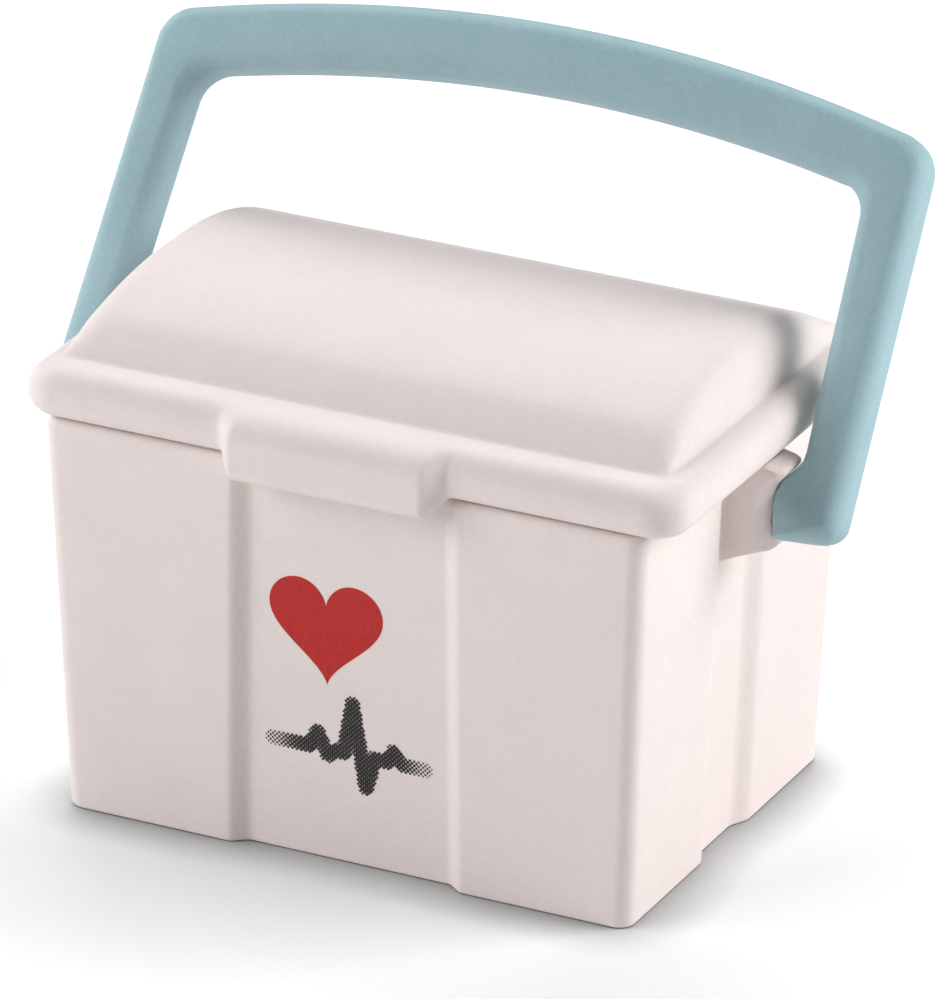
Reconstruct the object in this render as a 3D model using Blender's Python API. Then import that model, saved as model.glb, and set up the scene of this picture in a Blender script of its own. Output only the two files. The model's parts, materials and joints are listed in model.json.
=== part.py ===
"""Toy doctor case: a figurine's carrying case with a domed lid and a swinging bail handle.

Frame: +X to the case's right, +Y to its back, +Z up, in metres. The origin is on the
flat underside of the case body, below the middle of the walls.
"""

import math

import bmesh
import bpy
from mathutils import Matrix, Vector

# Case body: walls, floor and panels
RIM_LENGTH = 0.02886  # outer length of the walls at the rim, left to right
RIM_DEPTH = 0.02134  # outer depth of the walls at the rim, front to back
RIM_HEIGHT = 0.01875
WALL_SLOPE = 0.0358  # inward lean of every wall towards the floor, a ratio
WALL_THICKNESS = 0.0015  # at the corner pillars, at the rim
FLOOR_THICKNESS = 0.0013
CORNER_RADIUS = 0.0010
INNER_CORNER_RADIUS = 0.0006
FOOT_EDGE_RADIUS = 0.00020
RIM_EDGE_RADIUS = 0.00042
FRONT_PANEL_LENGTH = 0.0106  # sunk panel on the front and back walls, mid step to mid step
FRONT_PANEL_DEPTH = 0.00044
FRONT_STEP_WIDTH = 0.0009
SIDE_PANEL_LENGTH = 0.0039
SIDE_PANEL_DEPTH = 0.00047
SIDE_STEP_WIDTH = 0.0009

# Handle pivot, shared by the body's lugs and the handle
PIVOT_Y = -0.0002
PIVOT_HEIGHT = 0.0162
TRUNNION_RADIUS = 0.00060
TRUNNION_CLEARANCE = 0.00005
TRUNNION_DEPTH = 0.00150  # how far a trunnion reaches into its lug
BORE_END_CLEARANCE = 0.00020

# Lugs that carry the handle, one on each side wall
LUG_WIDTH = 0.0023
LUG_DROP = 0.0023  # from the pivot down to the lug's underside
LUG_REACH = 0.00206  # from the sunk panel at the pivot's height to the outer face
LUG_EDGE_RADIUS = 0.00050
LUG_FLARE = 0.00066  # extra reach at the top, beside the lid
LUG_TIP_HEIGHT = 0.00060  # above the rim
LUG_ROOT_OVERLAP = 0.00050  # how far the lug is sunk into the wall

# Lid: flange, dome, latch tab and locating lip
LID_GAP = 0.00010  # parting gap between the rim and the lid
LID_SIDE_SHIFT = 0.00037  # the lid lies this far to the right on its hinge
FLANGE_SIDE_OVERHANG = 0.00142
FLANGE_FRONT_OVERHANG = 0.00047
FLANGE_HEIGHT = 0.00227
FLANGE_LOWER_RADIUS = 0.00095
FLANGE_UPPER_RADIUS = 0.00112
FLANGE_CORNER_RADIUS = 0.00175
DOME_CENTRE_X = 0.00024
DOME_END_LEDGE = 0.00131  # from the flange's side edge in to the dome
DOME_FRONT_LEDGE = 0.00083
DOME_BACK_LEDGE = 0.00095
DOME_RISE = 0.00274
DOME_END_RADIUS = 0.00162
DOME_CURVE_POWER = 2.38  # 2 is a parabola, more is flatter on top and steeper in front
DOME_END_POWER = 2.21  # 2 is a round end, more is squarer
DOME_SINK = 0.00002  # the dome's foot lies this far below the flange's top
LID_THICKNESS = 0.0012
TAB_LENGTH = 0.0105
TAB_REACH = 0.00086  # ahead of the flange
TAB_DROP = 0.00070  # below the flange
TAB_EDGE_RADIUS = 0.00055
TAB_WALL_GAP = 0.00018
LIP_DEPTH = 0.0010
LIP_THICKNESS = 0.0009
LIP_CLEARANCE = 0.00025
LIP_SIDE_CLEARANCE = 0.00055

# Hinge at the back
HINGE_LENGTH = 0.0160
HINGE_BARREL_RADIUS = 0.00090
HINGE_WALL_GAP = 0.00018
HINGE_PIN_RADIUS = 0.00040
HINGE_PIN_CLEARANCE = 0.00005
LID_KNUCKLE_LENGTH = 0.0070
KNUCKLE_GAP = 0.00050  # on each side of the lid's knuckle, so the lid can shift
HINGE_WEB_HEIGHT = 0.00070
HINGE_WEB_INSET = 0.00012  # from a knuckle's ends and rounding in to its web

# Handle: a bail with a cambered bar
HANDLE_LEAN = math.radians(34.5)
HANDLE_DEPTH = 0.0026  # section's size across the plane of the bail
HANDLE_HEIGHT = 0.01939  # pivot to the top of the bar's camber
HANDLE_FOOT = 0.00104  # pivot down to the end of a leg
HANDLE_FOOT_OUTER_RADIUS = 0.00110
HANDLE_FOOT_SLANT = 0.00030  # a leg's outer side ends this much higher than its inner side
HANDLE_FOOT_INNER_RADIUS = 0.00035
HANDLE_LID_CLEARANCE = 0.00062  # lid's end to a leg's inner face, at the pivot's height
HANDLE_TAPER = 0.022  # inward lean of the right leg's outer face, a ratio
HANDLE_LEFT_TAPER = 0.036  # the same for the left leg
HANDLE_INNER_TAPER = 0.037  # inward lean of each leg's inner face, a ratio
LEG_WIDTH = 0.00232  # at the pivot, before the pad
BAR_WIDTH = 0.0031
BAR_CAMBER_RADIUS = 0.0720
BAR_CROWN_SHIFT = 0.0005  # the top of the camber lies this far to the right
HANDLE_OUTER_CORNER_RADIUS = 0.0011
HANDLE_INNER_CORNER_RADIUS = 0.0017
HANDLE_EDGE_RADIUS = 0.00070
PAD_RADIUS = 0.00250  # raised pad around the pivot on each leg's inner face
PAD_GAP = 0.00021  # between the pad and the lug's outer face

# Shares, overrun and smoothness
OVERRUN = 0.0005  # how far a cut runs past what it cuts
ROUND_STEPS = 24
CORNER_STEPS = 5
EDGE_STEPS = 3
STEP_STEPS = 4
DOME_LENGTH_STEPS = 22
DOME_DEPTH_STEPS = 22
MERGE_DISTANCE = 1e-7

WHITE = (0.745, 0.690, 0.670, 1.0)
BLUE = (0.350, 0.510, 0.550, 1.0)
STEEL = (0.560, 0.570, 0.580, 1.0)

# Places worked out from the sizes
LUG_TOP = RIM_HEIGHT + LUG_TIP_HEIGHT
LUG_UNDERSIDE = PIVOT_HEIGHT - LUG_DROP
LID_UNDERSIDE = RIM_HEIGHT + LID_GAP
FLANGE_TOP = LID_UNDERSIDE + FLANGE_HEIGHT
FLANGE_HALF_LENGTH = RIM_LENGTH / 2 + FLANGE_SIDE_OVERHANG
FLANGE_FRONT = -(RIM_DEPTH / 2 + FLANGE_FRONT_OVERHANG)
FLANGE_BACK = RIM_DEPTH / 2
HINGE_Y = RIM_DEPTH / 2 + HINGE_WALL_GAP + HINGE_BARREL_RADIUS
HINGE_HEIGHT = RIM_HEIGHT
LEG_INNER_X = FLANGE_HALF_LENGTH + LID_SIDE_SHIFT + HANDLE_LID_CLEARANCE
LEG_OUTER_X = LEG_INNER_X + LEG_WIDTH


def material(name, colour, roughness, metallic):
    made = bpy.data.materials.new(name)
    made.use_nodes = True
    shader = made.node_tree.nodes["Principled BSDF"]
    shader.inputs["Base Color"].default_value = colour
    shader.inputs["Roughness"].default_value = roughness
    shader.inputs["Metallic"].default_value = metallic
    return made


def arc(centre, radius, start, end, steps):
    """Points on a circle from one angle to another, in degrees."""
    points = []
    for k in range(steps + 1):
        angle = math.radians(start + (end - start) * k / steps)
        points.append((centre[0] + radius * math.cos(angle), centre[1] + radius * math.sin(angle)))
    return points


def rounded_rectangle(left, right, front, back, radius):
    """Outline of a rectangle with round corners, anticlockwise from the front right corner."""
    points = arc((right - radius, front + radius), radius, -90, 0, CORNER_STEPS)
    points += arc((right - radius, back - radius), radius, 0, 90, CORNER_STEPS)
    points += arc((left + radius, back - radius), radius, 90, 180, CORNER_STEPS)
    points += arc((left + radius, front + radius), radius, 180, 270, CORNER_STEPS)
    return points


def edge_rounding(radius, steps):
    """Pairs of inset and height for a quarter round, from the flat face to the wall."""
    pairs = []
    for k in range(steps + 1):
        angle = math.pi / 2 * k / steps
        pairs.append((radius * (1 - math.sin(angle)), radius * (1 - math.cos(angle))))
    return pairs


def new_object(name, bm, surface, origin=(0, 0, 0)):
    """Object from a bmesh in world coordinates, with its origin moved to the given point."""
    bmesh.ops.remove_doubles(bm, verts=bm.verts, dist=MERGE_DISTANCE)
    bmesh.ops.recalc_face_normals(bm, faces=bm.faces)
    mesh = bpy.data.meshes.new(name)
    bm.to_mesh(mesh)
    bm.free()
    mesh.transform(Matrix.Translation(-Vector(origin)))
    mesh.materials.append(surface)
    made = bpy.data.objects.new(name, mesh)
    made.location = origin
    bpy.context.scene.collection.objects.link(made)
    return made


def loft(rings):
    """Closed bmesh through rings of equal point counts, with its two ends filled."""
    bm = bmesh.new()
    rows = [[bm.verts.new(point) for point in ring] for ring in rings]
    for lower, upper in zip(rows, rows[1:]):
        for k in range(len(lower)):
            after = (k + 1) % len(lower)
            bm.faces.new((lower[k], lower[after], upper[after], upper[k]))
    bm.faces.new(reversed(rows[0]))
    bm.faces.new(rows[-1])
    return bm


def flat_ring(outline, height):
    return [(x, y, height) for x, y in outline]


def block(left, right, front, back, bottom, top):
    outline = [(left, front), (right, front), (right, back), (left, back)]
    return loft([flat_ring(outline, bottom), flat_ring(outline, top)])


def rod(left, right, y, z, radius):
    """Round bar along X."""
    circle = arc((y, z), radius, 0, 360, ROUND_STEPS)[:-1]
    return loft([[(x, point[0], point[1]) for point in circle] for x in (left, right)])


def helper(name, bm, surface):
    """Hidden shape that only takes part in a Boolean."""
    made = new_object(name, bm, surface)
    made.hide_render = True
    made.display_type = "WIRE"
    return made


def combine(target, operand, operation):
    modifier = target.modifiers.new(operand.name, "BOOLEAN")
    modifier.operation = operation
    modifier.solver = "EXACT"
    modifier.object = operand


def wall_inset(height):
    """How far the walls have come in at a height, against the rim."""
    return WALL_SLOPE * (RIM_HEIGHT - height)


def panel_steps(centre, length, depth, step_width):
    """Pairs of place and depth along a wall that cross its sunk panel."""
    pairs = []
    for k in range(STEP_STEPS + 1):
        share = k / STEP_STEPS
        place = centre - length / 2 + step_width * (share - 0.5)
        pairs.append((place, depth * (1 - math.cos(math.pi * share)) / 2))
    pairs += [(2 * centre - place, sunk) for place, sunk in reversed(pairs)]
    return pairs


def body_outline(height, inset):
    """Outside of the walls at a height, with the four sunk panels."""
    half_x = RIM_LENGTH / 2 - wall_inset(height) - inset
    half_y = RIM_DEPTH / 2 - wall_inset(height) - inset
    radius = CORNER_RADIUS - inset
    long_steps = panel_steps(0, FRONT_PANEL_LENGTH, FRONT_PANEL_DEPTH, FRONT_STEP_WIDTH)
    side_steps = panel_steps(PIVOT_Y, SIDE_PANEL_LENGTH, SIDE_PANEL_DEPTH, SIDE_STEP_WIDTH)
    corner_x = half_x - radius
    corner_y = half_y - radius
    points = [(place, sunk - half_y) for place, sunk in long_steps]
    points += arc((corner_x, -corner_y), radius, -90, 0, CORNER_STEPS)
    points += [(half_x - sunk, place) for place, sunk in side_steps]
    points += arc((corner_x, corner_y), radius, 0, 90, CORNER_STEPS)
    points += [(place, half_y - sunk) for place, sunk in reversed(long_steps)]
    points += arc((-corner_x, corner_y), radius, 90, 180, CORNER_STEPS)
    points += [(sunk - half_x, place) for place, sunk in reversed(side_steps)]
    points += arc((-corner_x, -corner_y), radius, 180, 270, CORNER_STEPS)
    return points


def body_shell():
    rings = []
    for inset, rise in edge_rounding(FOOT_EDGE_RADIUS, EDGE_STEPS):
        rings.append(flat_ring(body_outline(rise, inset), rise))
    for inset, drop in reversed(edge_rounding(RIM_EDGE_RADIUS, EDGE_STEPS)):
        height = RIM_HEIGHT - drop
        rings.append(flat_ring(body_outline(height, inset), height))
    return loft(rings)


def body_cavity():
    rings = []
    for height in (FLOOR_THICKNESS, RIM_HEIGHT + OVERRUN):
        half_x = RIM_LENGTH / 2 - WALL_THICKNESS - wall_inset(height)
        half_y = RIM_DEPTH / 2 - WALL_THICKNESS - wall_inset(height)
        outline = rounded_rectangle(-half_x, half_x, -half_y, half_y, INNER_CORNER_RADIUS)
        rings.append(flat_ring(outline, height))
    return loft(rings)


def panel_face_x(height):
    """Distance of the side walls' sunk panels from the middle, at a height."""
    return RIM_LENGTH / 2 - wall_inset(height) - SIDE_PANEL_DEPTH


def lug_nose_x():
    return panel_face_x(PIVOT_HEIGHT) + LUG_REACH


# Lug's levels from its underside to its tip: height, reach, flare and width as shares
LUG_LEVEL_SHARES = (
    (0.00, 0.75, 0.00, 0.93),
    (0.02, 0.88, 0.00, 0.98),
    (0.06, 0.97, 0.00, 1.00),
    (0.12, 1.00, 0.00, 1.00),
    (0.57, 1.00, 0.00, 1.00),
    (0.68, 1.00, 0.08, 1.00),
    (0.77, 1.00, 0.30, 1.00),
    (0.84, 1.00, 0.50, 1.00),
    (0.89, 1.00, 0.68, 1.00),
    (0.94, 1.00, 0.88, 1.00),
    (0.98, 1.00, 1.00, 0.92),
    (1.00, 1.00, 0.95, 0.75),
)
LUG_CORNER_SHARE = 0.9


def lug_section(root, face, half_width, height, side):
    """Horizontal section of a lug, with its two outer corners rounded."""
    radius = min(LUG_EDGE_RADIUS, face - root, LUG_CORNER_SHARE * half_width)
    points = [(root, -half_width)]
    points += arc((face - radius, radius - half_width), radius, -90, 0, CORNER_STEPS)
    points += arc((face - radius, half_width - radius), radius, 0, 90, CORNER_STEPS)
    points.append((root, half_width))
    return [(side * x, PIVOT_Y + y, height) for x, y in points]


def flange_clear_x(height):
    """Inner limit of a lug's tip, which stays clear of the lid's rounded lower edge."""
    clearance = 2 * LID_GAP
    reach = FLANGE_LOWER_RADIUS + clearance
    middle = LID_UNDERSIDE + FLANGE_LOWER_RADIUS
    below = min(middle - height, reach)
    centre_x = FLANGE_HALF_LENGTH + LID_SIDE_SHIFT - FLANGE_LOWER_RADIUS
    return centre_x + math.sqrt(max(reach ** 2 - below ** 2, 0))


def lug(side):
    """Lug on one side wall: it grows out of the sunk panel and flares beside the lid."""
    shelf = RIM_HEIGHT - LID_GAP
    inner = panel_face_x(PIVOT_HEIGHT) - LUG_ROOT_OVERLAP
    levels = []
    for height_share, reach_share, flare_share, width_share in LUG_LEVEL_SHARES:
        height = LUG_UNDERSIDE + height_share * (LUG_TOP - LUG_UNDERSIDE)
        nose = panel_face_x(PIVOT_HEIGHT) + LUG_REACH * reach_share + LUG_FLARE * flare_share
        levels.append((height, nose, width_share * LUG_WIDTH / 2))
    rings = []
    lower = [level for level in levels if level[0] < shelf]
    upper = [level for level in levels if level[0] > shelf]
    for height, nose, half_width in lower:
        rings.append(lug_section(inner, nose, half_width, height, side))
    below, above = lower[-1], upper[0]
    share = (shelf - below[0]) / (above[0] - below[0])
    nose = below[1] + share * (above[1] - below[1])
    half_width = below[2] + share * (above[2] - below[2])
    rings.append(lug_section(inner, nose, half_width, shelf, side))
    ledge = shelf + LID_GAP / 2
    rings.append(lug_section(flange_clear_x(ledge), nose, half_width, ledge, side))
    for height, nose, half_width in upper:
        rings.append(lug_section(flange_clear_x(height), nose, half_width, height, side))
    return loft(rings)


def lug_bore(side):
    nose = lug_nose_x()
    end = nose - TRUNNION_DEPTH - BORE_END_CLEARANCE
    mouth = nose + LUG_FLARE + OVERRUN
    left, right = sorted((side * end, side * mouth))
    return rod(left, right, PIVOT_Y, PIVOT_HEIGHT, TRUNNION_RADIUS + TRUNNION_CLEARANCE)


def body_knuckle(side):
    """Barrel at one end of the hinge."""
    inner = LID_KNUCKLE_LENGTH / 2 + KNUCKLE_GAP
    left, right = sorted((side * inner, side * HINGE_LENGTH / 2))
    return rod(left, right, HINGE_Y, HINGE_HEIGHT, HINGE_BARREL_RADIUS)


def body_knuckle_web(side):
    """Web that carries a barrel on the back wall."""
    inner = LID_KNUCKLE_LENGTH / 2 + KNUCKLE_GAP + HINGE_WEB_INSET
    outer = HINGE_LENGTH / 2 - HINGE_WEB_INSET
    left, right = sorted((side * inner, side * outer))
    front = RIM_DEPTH / 2 - FRONT_PANEL_DEPTH - WALL_THICKNESS / 2
    bottom = HINGE_HEIGHT - HINGE_BARREL_RADIUS + HINGE_WEB_INSET
    return block(left, right, front, HINGE_Y, bottom, bottom + HINGE_WEB_HEIGHT)


def hinge_bore():
    reach = HINGE_LENGTH / 2 + OVERRUN
    radius = HINGE_PIN_RADIUS + HINGE_PIN_CLEARANCE
    return rod(-reach, reach, HINGE_Y, HINGE_HEIGHT, radius)


def build_body(white):
    body = new_object("case_body", body_shell(), white)
    combine(body, helper("cavity_cutter", body_cavity(), white), "DIFFERENCE")
    for side, word in ((-1, "left"), (1, "right")):
        combine(body, helper(word + "_lug", lug(side), white), "UNION")
        combine(body, helper(word + "_lug_bore", lug_bore(side), white), "DIFFERENCE")
        combine(body, helper(word + "_knuckle", body_knuckle(side), white), "UNION")
        combine(body, helper(word + "_knuckle_web", body_knuckle_web(side), white), "UNION")
    combine(body, helper("body_hinge_bore", hinge_bore(), white), "DIFFERENCE")
    return body


def flange():
    """Slab with a bull-nosed edge all round."""
    rings = []
    levels = []
    for inset, rise in edge_rounding(FLANGE_LOWER_RADIUS, CORNER_STEPS):
        levels.append((inset, LID_UNDERSIDE + rise))
    for inset, drop in reversed(edge_rounding(FLANGE_UPPER_RADIUS, CORNER_STEPS)):
        levels.append((inset, FLANGE_TOP - drop))
    for inset, height in levels:
        outline = rounded_rectangle(
            LID_SIDE_SHIFT - FLANGE_HALF_LENGTH + inset,
            LID_SIDE_SHIFT + FLANGE_HALF_LENGTH - inset,
            FLANGE_FRONT + inset,
            FLANGE_BACK - inset,
            FLANGE_CORNER_RADIUS - inset,
        )
        rings.append(flat_ring(outline, height))
    return loft(rings)


def dome_height(x_share, y_share, half_length):
    """Dome's surface above its foot, from shares of its length and depth, -1 to 1."""
    arch = DOME_RISE * (1 - abs(y_share) ** DOME_CURVE_POWER)
    into_end = max((abs(x_share) - 1) * half_length / DOME_END_RADIUS + 1, 0)
    end = max(1 - into_end ** DOME_END_POWER, 0) ** (1 / DOME_END_POWER)
    return arch * end


def end_shares(half_length, radius, steps):
    """Shares from -1 to 1, with points crowded into the two rounded ends."""
    middle = 1 - radius / half_length
    rounded = []
    for k in range(1, CORNER_STEPS + 1):
        rounded.append(middle + (1 - middle) * math.sin(math.pi / 2 * k / CORNER_STEPS))
    straight = [middle * (2 * k / steps - 1) for k in range(steps + 1)]
    return [-share for share in reversed(rounded)] + straight + rounded


def height_field(xs, ys, top, bottom):
    """Closed block over a grid of places, with top(x, y) as its upper surface."""
    bm = bmesh.new()
    upper = [[bm.verts.new((x, y, top(x, y))) for x in xs] for y in ys]
    lower = [[bm.verts.new((x, y, bottom)) for x in xs] for y in ys]
    columns = len(xs) - 1
    rows = len(ys) - 1
    for j in range(rows):
        for i in range(columns):
            bm.faces.new((upper[j][i], upper[j][i + 1], upper[j + 1][i + 1], upper[j + 1][i]))
    for i in range(columns):
        bm.faces.new((lower[0][i], lower[0][i + 1], upper[0][i + 1], upper[0][i]))
        bm.faces.new((upper[rows][i], upper[rows][i + 1], lower[rows][i + 1], lower[rows][i]))
    for j in range(rows):
        bm.faces.new((upper[j][0], upper[j + 1][0], lower[j + 1][0], lower[j][0]))
        near, far = lower[j][columns], lower[j + 1][columns]
        bm.faces.new((near, far, upper[j + 1][columns], upper[j][columns]))
    rim = lower[0] + [row[columns] for row in lower[1:]]
    rim += list(reversed(lower[rows][:-1])) + [row[0] for row in reversed(lower[1:-1])]
    bm.faces.new(reversed(rim))
    inside = [row[i] for row in lower[1:-1] for i in range(1, columns)]
    bmesh.ops.delete(bm, geom=inside, context="VERTS")
    return bm


DOME_HALF_LENGTH = FLANGE_HALF_LENGTH - DOME_END_LEDGE
DOME_FRONT = FLANGE_FRONT + DOME_FRONT_LEDGE
DOME_BACK = FLANGE_BACK - DOME_BACK_LEDGE
DOME_FOOT = FLANGE_TOP - DOME_SINK


def dome_top(x, y):
    """Height of the dome's outer surface over a place on the lid."""
    x_share = (x - DOME_CENTRE_X) / DOME_HALF_LENGTH
    y_share = y / DOME_BACK if y > 0 else y / DOME_FRONT
    return DOME_FOOT + dome_height(min(abs(x_share), 1), min(abs(y_share), 1), DOME_HALF_LENGTH)


def dome():
    shares = end_shares(DOME_HALF_LENGTH, DOME_END_RADIUS, DOME_LENGTH_STEPS // 4)
    xs = [DOME_CENTRE_X + share * DOME_HALF_LENGTH for share in shares]
    middle = (DOME_FRONT + DOME_BACK) / 2
    reach = (DOME_BACK - DOME_FRONT) / 2
    angles = [math.pi * k / DOME_DEPTH_STEPS for k in range(DOME_DEPTH_STEPS + 1)]
    ys = [middle - reach * math.cos(angle) for angle in angles]
    return height_field(xs, ys, dome_top, LID_UNDERSIDE + FLANGE_HEIGHT / 2)


LIP_HALF_LENGTH = RIM_LENGTH / 2 - WALL_THICKNESS - LIP_SIDE_CLEARANCE
LIP_HALF_DEPTH = RIM_DEPTH / 2 - WALL_THICKNESS - LIP_CLEARANCE


def lip():
    """Solid plug that locates the lid in the body's mouth; the cavity makes it a ring."""
    rings = []
    for height in (LID_UNDERSIDE - LIP_DEPTH, LID_UNDERSIDE + FLANGE_HEIGHT / 2):
        inset = WALL_SLOPE * LIP_DEPTH
        outline = rounded_rectangle(
            LID_SIDE_SHIFT - LIP_HALF_LENGTH + inset,
            LID_SIDE_SHIFT + LIP_HALF_LENGTH - inset,
            inset - LIP_HALF_DEPTH,
            LIP_HALF_DEPTH - inset,
            INNER_CORNER_RADIUS,
        )
        rings.append(flat_ring(outline, height))
    return loft(rings)


def lid_cavity():
    half_length = LIP_HALF_LENGTH - LIP_THICKNESS
    half_depth = LIP_HALF_DEPTH - LIP_THICKNESS
    steps = DOME_LENGTH_STEPS // 2
    xs = [LID_SIDE_SHIFT + half_length * (2 * k / steps - 1) for k in range(steps + 1)]
    ys = [half_depth * (2 * k / steps - 1) for k in range(steps + 1)]
    bottom = LID_UNDERSIDE - LIP_DEPTH - OVERRUN
    return height_field(xs, ys, lambda x, y: dome_top(x, y) - LID_THICKNESS, bottom)


def latch_tab():
    """Bar on the flange's front, round-edged, that hangs over the front panel."""
    front = FLANGE_FRONT - TAB_REACH
    back = -(RIM_DEPTH / 2 + TAB_WALL_GAP)
    bottom = LID_UNDERSIDE - TAB_DROP
    levels = []
    for inset, rise in edge_rounding(TAB_EDGE_RADIUS, EDGE_STEPS):
        levels.append((inset, bottom + rise))
    for inset, drop in reversed(edge_rounding(TAB_EDGE_RADIUS, EDGE_STEPS)):
        levels.append((inset, FLANGE_TOP - drop))
    rings = []
    for inset, height in levels:
        half = TAB_LENGTH / 2 - inset
        corner_x = half - TAB_EDGE_RADIUS
        corner_y = front + inset + TAB_EDGE_RADIUS
        outline = arc((corner_x, corner_y), TAB_EDGE_RADIUS, -90, 0, EDGE_STEPS)
        outline += [(half, back), (-half, back)]
        outline += arc((-corner_x, corner_y), TAB_EDGE_RADIUS, 180, 270, EDGE_STEPS)
        rings.append(flat_ring(outline, height))
    return loft(rings)


def latch_tab_root():
    """Block that ties the tab's upper part to the flange."""
    half = TAB_LENGTH / 2 - TAB_EDGE_RADIUS
    back = DOME_FRONT
    front = FLANGE_FRONT - TAB_REACH / 2
    return block(-half, half, front, back, LID_UNDERSIDE, FLANGE_TOP - DOME_SINK)


def lid_knuckle():
    half = LID_KNUCKLE_LENGTH / 2
    return rod(LID_SIDE_SHIFT - half, LID_SIDE_SHIFT + half, HINGE_Y, HINGE_HEIGHT, HINGE_BARREL_RADIUS)


def lid_knuckle_web():
    """Web from the lid's barrel up and over to the flange's back edge."""
    half = LID_KNUCKLE_LENGTH / 2 - HINGE_WEB_INSET
    front = FLANGE_BACK - FLANGE_UPPER_RADIUS
    top = HINGE_HEIGHT + HINGE_BARREL_RADIUS - HINGE_WEB_INSET
    bottom = top - HINGE_WEB_HEIGHT
    return block(LID_SIDE_SHIFT - half, LID_SIDE_SHIFT + half, front, HINGE_Y, bottom, top)


def build_lid(white):
    lid = new_object("lid", flange(), white, (0, HINGE_Y, HINGE_HEIGHT))
    combine(lid, helper("lid_dome", dome(), white), "UNION")
    combine(lid, helper("lid_lip", lip(), white), "UNION")
    combine(lid, helper("lid_tab", latch_tab(), white), "UNION")
    combine(lid, helper("lid_tab_root", latch_tab_root(), white), "UNION")
    combine(lid, helper("lid_cavity_cutter", lid_cavity(), white), "DIFFERENCE")
    combine(lid, helper("lid_knuckle", lid_knuckle(), white), "UNION")
    combine(lid, helper("lid_knuckle_web", lid_knuckle_web(), white), "UNION")
    combine(lid, helper("lid_hinge_bore", hinge_bore(), white), "DIFFERENCE")
    return lid


def build_hinge_pin(steel):
    """Wire pin that runs through all three knuckles."""
    half = HINGE_LENGTH / 2
    pin = new_object(
        "hinge_pin",
        rod(-half, half, HINGE_Y, HINGE_HEIGHT, HINGE_PIN_RADIUS),
        steel,
        (0, HINGE_Y, HINGE_HEIGHT),
    )
    return pin


def inner_leg_x(along):
    """Inner face of a leg, with the raised pad around the pivot."""
    plain = LEG_INNER_X - HANDLE_INNER_TAPER * along
    pad = lug_nose_x() + PAD_GAP
    share = min(abs(along) / PAD_RADIUS, 1)
    return pad + (plain - pad) * (1 - math.cos(math.pi * max(2 * share - 1, 0))) / 2


def corner_rail(face, taper, crown, radius):
    """Round corner between a leg's face and the bar's cambered edge, from the leg up.

    The crown is the place and height of the camber's highest point.
    """
    crown_x, crown_height = crown
    along = crown_height
    for _ in range(CORNER_STEPS):
        along = crown_height - (face(along) - crown_x) ** 2 / (2 * BAR_CAMBER_RADIUS)
    lean = math.atan(taper)
    drop = math.atan((face(along) - crown_x) / BAR_CAMBER_RADIUS)
    turn = math.pi / 2 - drop - lean
    tangent = radius * math.tan(turn / 2)
    start = (face(along - tangent), along - tangent)
    centre = (start[0] - radius * math.cos(lean), start[1] - radius * math.sin(lean))
    return arc(centre, radius, math.degrees(lean), math.degrees(lean + turn), CORNER_STEPS)


LEG_SHARES = (0.08, 0.12, 0.16, 0.20, 0.26, 0.45, 0.65, 0.85)
FOOT_DEPTH_SHARE = 0.9
BAR_STEPS = 8


def handle_rails(side):
    """Outer and inner edge of half the bail, from the leg's end to the bar's crown.

    Distances from the middle count outward on both halves.
    """
    taper = HANDLE_TAPER if side > 0 else HANDLE_LEFT_TAPER
    crown_x = side * BAR_CROWN_SHIFT

    def outer_face(along):
        return LEG_OUTER_X - taper * along

    top = (crown_x, HANDLE_HEIGHT)
    under = (crown_x, HANDLE_HEIGHT - BAR_WIDTH)
    outer_corner = corner_rail(outer_face, taper, top, HANDLE_OUTER_CORNER_RADIUS)
    inner_corner = corner_rail(inner_leg_x, HANDLE_INNER_TAPER, under, HANDLE_INNER_CORNER_RADIUS)
    outer, inner = [], []
    for share in LEG_SHARES:
        high = outer_corner[0][1] * share - HANDLE_FOOT * (1 - share)
        low = inner_corner[0][1] * share - HANDLE_FOOT * (1 - share)
        outer.append((outer_face(high), high))
        inner.append((inner_leg_x(low), low))
    outer += outer_corner
    inner += inner_corner
    for rail, crown in ((outer, top), (inner, under)):
        reach = rail[-1][0] - crown[0]
        for k in range(1, BAR_STEPS + 1):
            from_crown = reach * (1 - k / BAR_STEPS)
            drop = from_crown ** 2 / (2 * BAR_CAMBER_RADIUS)
            rail.append((crown[0] + from_crown, crown[1] - drop))
    return outer, inner


def handle_section(outer, inner, depth, side):
    """Rounded rectangle across the bail between two points of its rails."""
    middle = ((outer[0] + inner[0]) / 2, (outer[1] + inner[1]) / 2)
    across = (outer[0] - inner[0], outer[1] - inner[1])
    width = math.hypot(*across)
    unit = (across[0] / width, across[1] / width)
    flat_width = width / 2 - HANDLE_EDGE_RADIUS
    flat_depth = depth / 2 - HANDLE_EDGE_RADIUS
    outline = []
    for start, sign_w, sign_d in ((0, 1, 1), (90, -1, 1), (180, -1, -1), (270, 1, -1)):
        centre = (sign_w * flat_width, sign_d * flat_depth)
        outline += arc(centre, HANDLE_EDGE_RADIUS, start, start + 90, EDGE_STEPS)
    return [(side * (middle[0] + unit[0] * w), d, middle[1] + unit[1] * w) for w, d in outline]


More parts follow.
